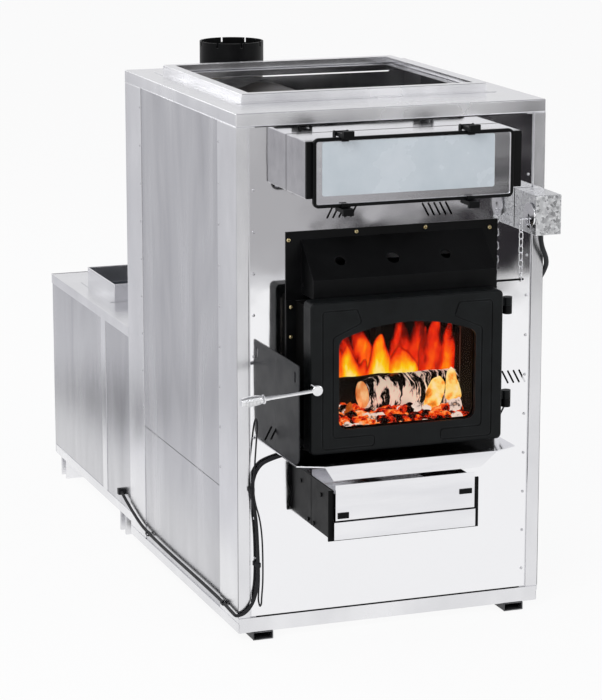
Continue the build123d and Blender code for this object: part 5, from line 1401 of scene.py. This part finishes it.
class FURNACE_OT_stage(FurnaceStep, bpy.types.Operator):
    """Studio: white floor and room, grey cards that the metal reflects, lamps and the camera"""

    bl_idname = "furnace.stage"
    bl_label = "Stage"

    def sheet(self, name, corners, surface):
        """A flat piece of the stage; surface fills its material's node tree."""
        mesh = bpy.data.meshes.new(name)
        mesh.from_pydata(corners, [], [(0, 1, 2, 3)])
        material, tree = blank(name)
        add(tree, "OutputMaterial", {"Surface": surface(tree)})
        mesh.materials.append(material)
        made = piece(name, mesh)
        return made

    def card(self, name, corners, code):
        """A glowing card that only reflections see."""
        made = self.sheet(name, corners, lambda tree: add(
            tree, "Emission", {"Color": code, "Strength": 1.0}
        ))
        made.visible_camera = made.visible_diffuse = False
        made.visible_transmission = made.visible_shadow = False

    def lay_floor(self, half, colour):
        """A floor that is white to look at and in reflections, and matt to the light."""
        def surface(tree):
            rays = add(tree, "LightPath").node.outputs
            matte = add(tree, "BsdfDiffuse", {"Color": colour})
            glow = add(tree, "Emission", {"Color": (1, 1, 1, 1), "Strength": 1.0})
            seen = rays["Is Camera Ray"]
            for way in ("Is Glossy Ray", "Is Transmission Ray"):
                seen = add(tree, "Math", {0: seen, 1: rays[way]}, operation="MAXIMUM")
            # The tenth that stays matt keeps the furnace's shadow
            share = add(tree, "Math", {0: seen, 1: 0.9}, operation="MULTIPLY")
            return add(tree, "MixShader", {0: share, 1: matte, 2: glow})

        corners = [(-half, -half, 0), (half, -half, 0), (half, half, 0), (-half, half, 0)]
        self.sheet("studio_floor", corners, surface)

    def lay_cards(self):
        """Cards on the floor in front and at the left, in metres from the cabinet's corner."""
        front, side = CAB.y, CAB.x
        for name, left, right, near, far, code, height in (
            ("front_grey_card", -6.0, 9.0, front - 8.9, front - 4.15, "#b2b1b3", 0.002),
            ("front_soft_card", -6.0, 9.0, front - 4.15, front - 3.85, "#d2d2d4", 0.003),
            ("front_dark_card", 1.72, 9.0, front - 5.2, front - 3.70, "#2c2a2d", 0.004),
            ("front_far_card", 2.55, 12.0, front - 7.0, front - 5.2, "#2c2a2d", 0.004),
            ("front_last_card", 3.45, 14.0, front - 10.0, front - 7.0, "#2c2a2d", 0.004),
            ("side_grey_card", side - 9.0, side - 0.25, -0.4, 12.0, "#d2d2d6", 0.002),
            ("side_low_card", side - 0.62, side - 0.25, -0.4, 12.0, "#e8e8ec", 0.003),
        ):
            self.card(name, [
                (left, near, height), (right, near, height), (right, far, height),
                (left, far, height),
            ], code)
        self.card("side_band_card", [
            (side - 0.30, 0.98, 0.004), (side - 0.30, 1.78, 0.004),
            (side - 0.50, 2.36, 0.004), (side - 0.50, 1.56, 0.004),
        ], "#5c5c60")

    def light_room(self, scene, colour):
        """A white room to look at, an even one for light, and a shaded one for reflections."""
        world = scene.world = bpy.data.worlds.new("white room")
        world.use_nodes = True
        tree = world.node_tree
        tree.nodes.clear()
        rays = add(tree, "LightPath").node.outputs
        way = add(tree, "TexCoord", take="Generated")
        # Softly darker towards the ceiling, so that sheet metal shows where it turns
        tone = add(
            tree, "ValToRGB", {0: add(tree, "SeparateXYZ", {0: way}, 2)},
            stops=((0.0, "#f4f4f4"), (1.0, "#c4c4c6"), (0.30, "#ececee"), (0.6, "#98989c")),
        )
        room, mirror, white = [
            add(tree, "Background", {"Color": hue, "Strength": strength})
            for hue, strength in ((colour, 0.62), (tone, 1.0), ((1, 1, 1, 1), 1.0))
        ]
        soft = add(tree, "MixShader", {0: rays["Is Glossy Ray"], 1: room, 2: mirror})
        seen = add(
            tree, "Math", {0: rays["Is Camera Ray"], 1: rays["Is Transmission Ray"]},
            operation="MAXIMUM",
        )
        last = add(tree, "MixShader", {0: seen, 1: soft, 2: white})
        add(tree, "OutputWorld", {"Surface": last})

    def make(self, sizes, colours):
        scene = bpy.context.scene
        scene.view_settings.view_transform = "Standard"
        self.lay_floor(sizes.floor_size / 2, tuple(colours.floor))
        self.lay_cards()
        self.light_room(scene, tuple(colours.room))
        aim = Vector((0.0, -0.3, 0.6))
        for name, place, power in (
            ("key_lamp", (-3.6, -4.2, 4.4), 120.0),
            ("fill_lamp", (4.2, -4.6, 2.6), 50.0),
            ("rear_lamp", (-2.5, 4.5, 4.0), 50.0),
        ):
            light = bpy.data.lights.new(name, "AREA")
            light.shape, light.size, light.energy = "SQUARE", 3.0, power
            lamp = piece(name, light)
            lamp.location = place
            lamp.rotation_euler = (aim - Vector(place)).to_track_quat("-Z", "Y").to_euler()
        lens = bpy.data.cameras.new("photo_camera")
        lens.lens, lens.sensor_width = 141.57, 36.0
        eye = scene.camera = piece("photo_camera", lens)
        turn, tilt = math.radians(20.0308), math.radians(12.6994)
        look = Vector((
            math.sin(turn) * math.cos(tilt), math.cos(turn) * math.cos(tilt), -math.sin(tilt)
        ))
        eye.location = (-2.3209, -6.5267, 2.0769)
        eye.rotation_euler = look.to_track_quat("-Z", "Y").to_euler()


STEPS = (
    FURNACE_OT_cabinet, FURNACE_OT_heads, FURNACE_OT_firebox, FURNACE_OT_fire,
    FURNACE_OT_door, FURNACE_OT_handle, FURNACE_OT_draft, FURNACE_OT_hatch,
    FURNACE_OT_hearth, FURNACE_OT_return_box, FURNACE_OT_blower, FURNACE_OT_wiring,
    FURNACE_OT_stage,
)


class FURNACE_PT_sidebar(bpy.types.Panel):
    """Lists the furnace's pieces, sizes and colours"""

    bl_label = "Hot air furnace"
    bl_idname = "FURNACE_PT_sidebar"
    bl_space_type = "VIEW_3D"
    bl_region_type = "UI"
    bl_category = "Furnace"

    def draw(self, context):
        layout = self.layout
        for group in (context.scene.furnace_sizes, context.scene.furnace_colours):
            for name in group.__annotations__:
                layout.prop(group, name)
        for step in STEPS:
            layout.operator(step.bl_idname)


CLASSES = (FurnaceSizes, FurnaceColours, *STEPS, FURNACE_PT_sidebar)


def register():
    for kind in CLASSES:
        bpy.utils.register_class(kind)
    bpy.types.Scene.furnace_sizes = bpy.props.PointerProperty(type=FurnaceSizes)
    bpy.types.Scene.furnace_colours = bpy.props.PointerProperty(type=FurnaceColours)


def unregister():
    del bpy.types.Scene.furnace_colours
    del bpy.types.Scene.furnace_sizes
    for kind in reversed(CLASSES):
        bpy.utils.unregister_class(kind)


def main():
    register()
    for step in STEPS:
        group, name = step.bl_idname.split(".")
        getattr(getattr(bpy.ops, group), name)()


if __name__ == "__main__":
    main()
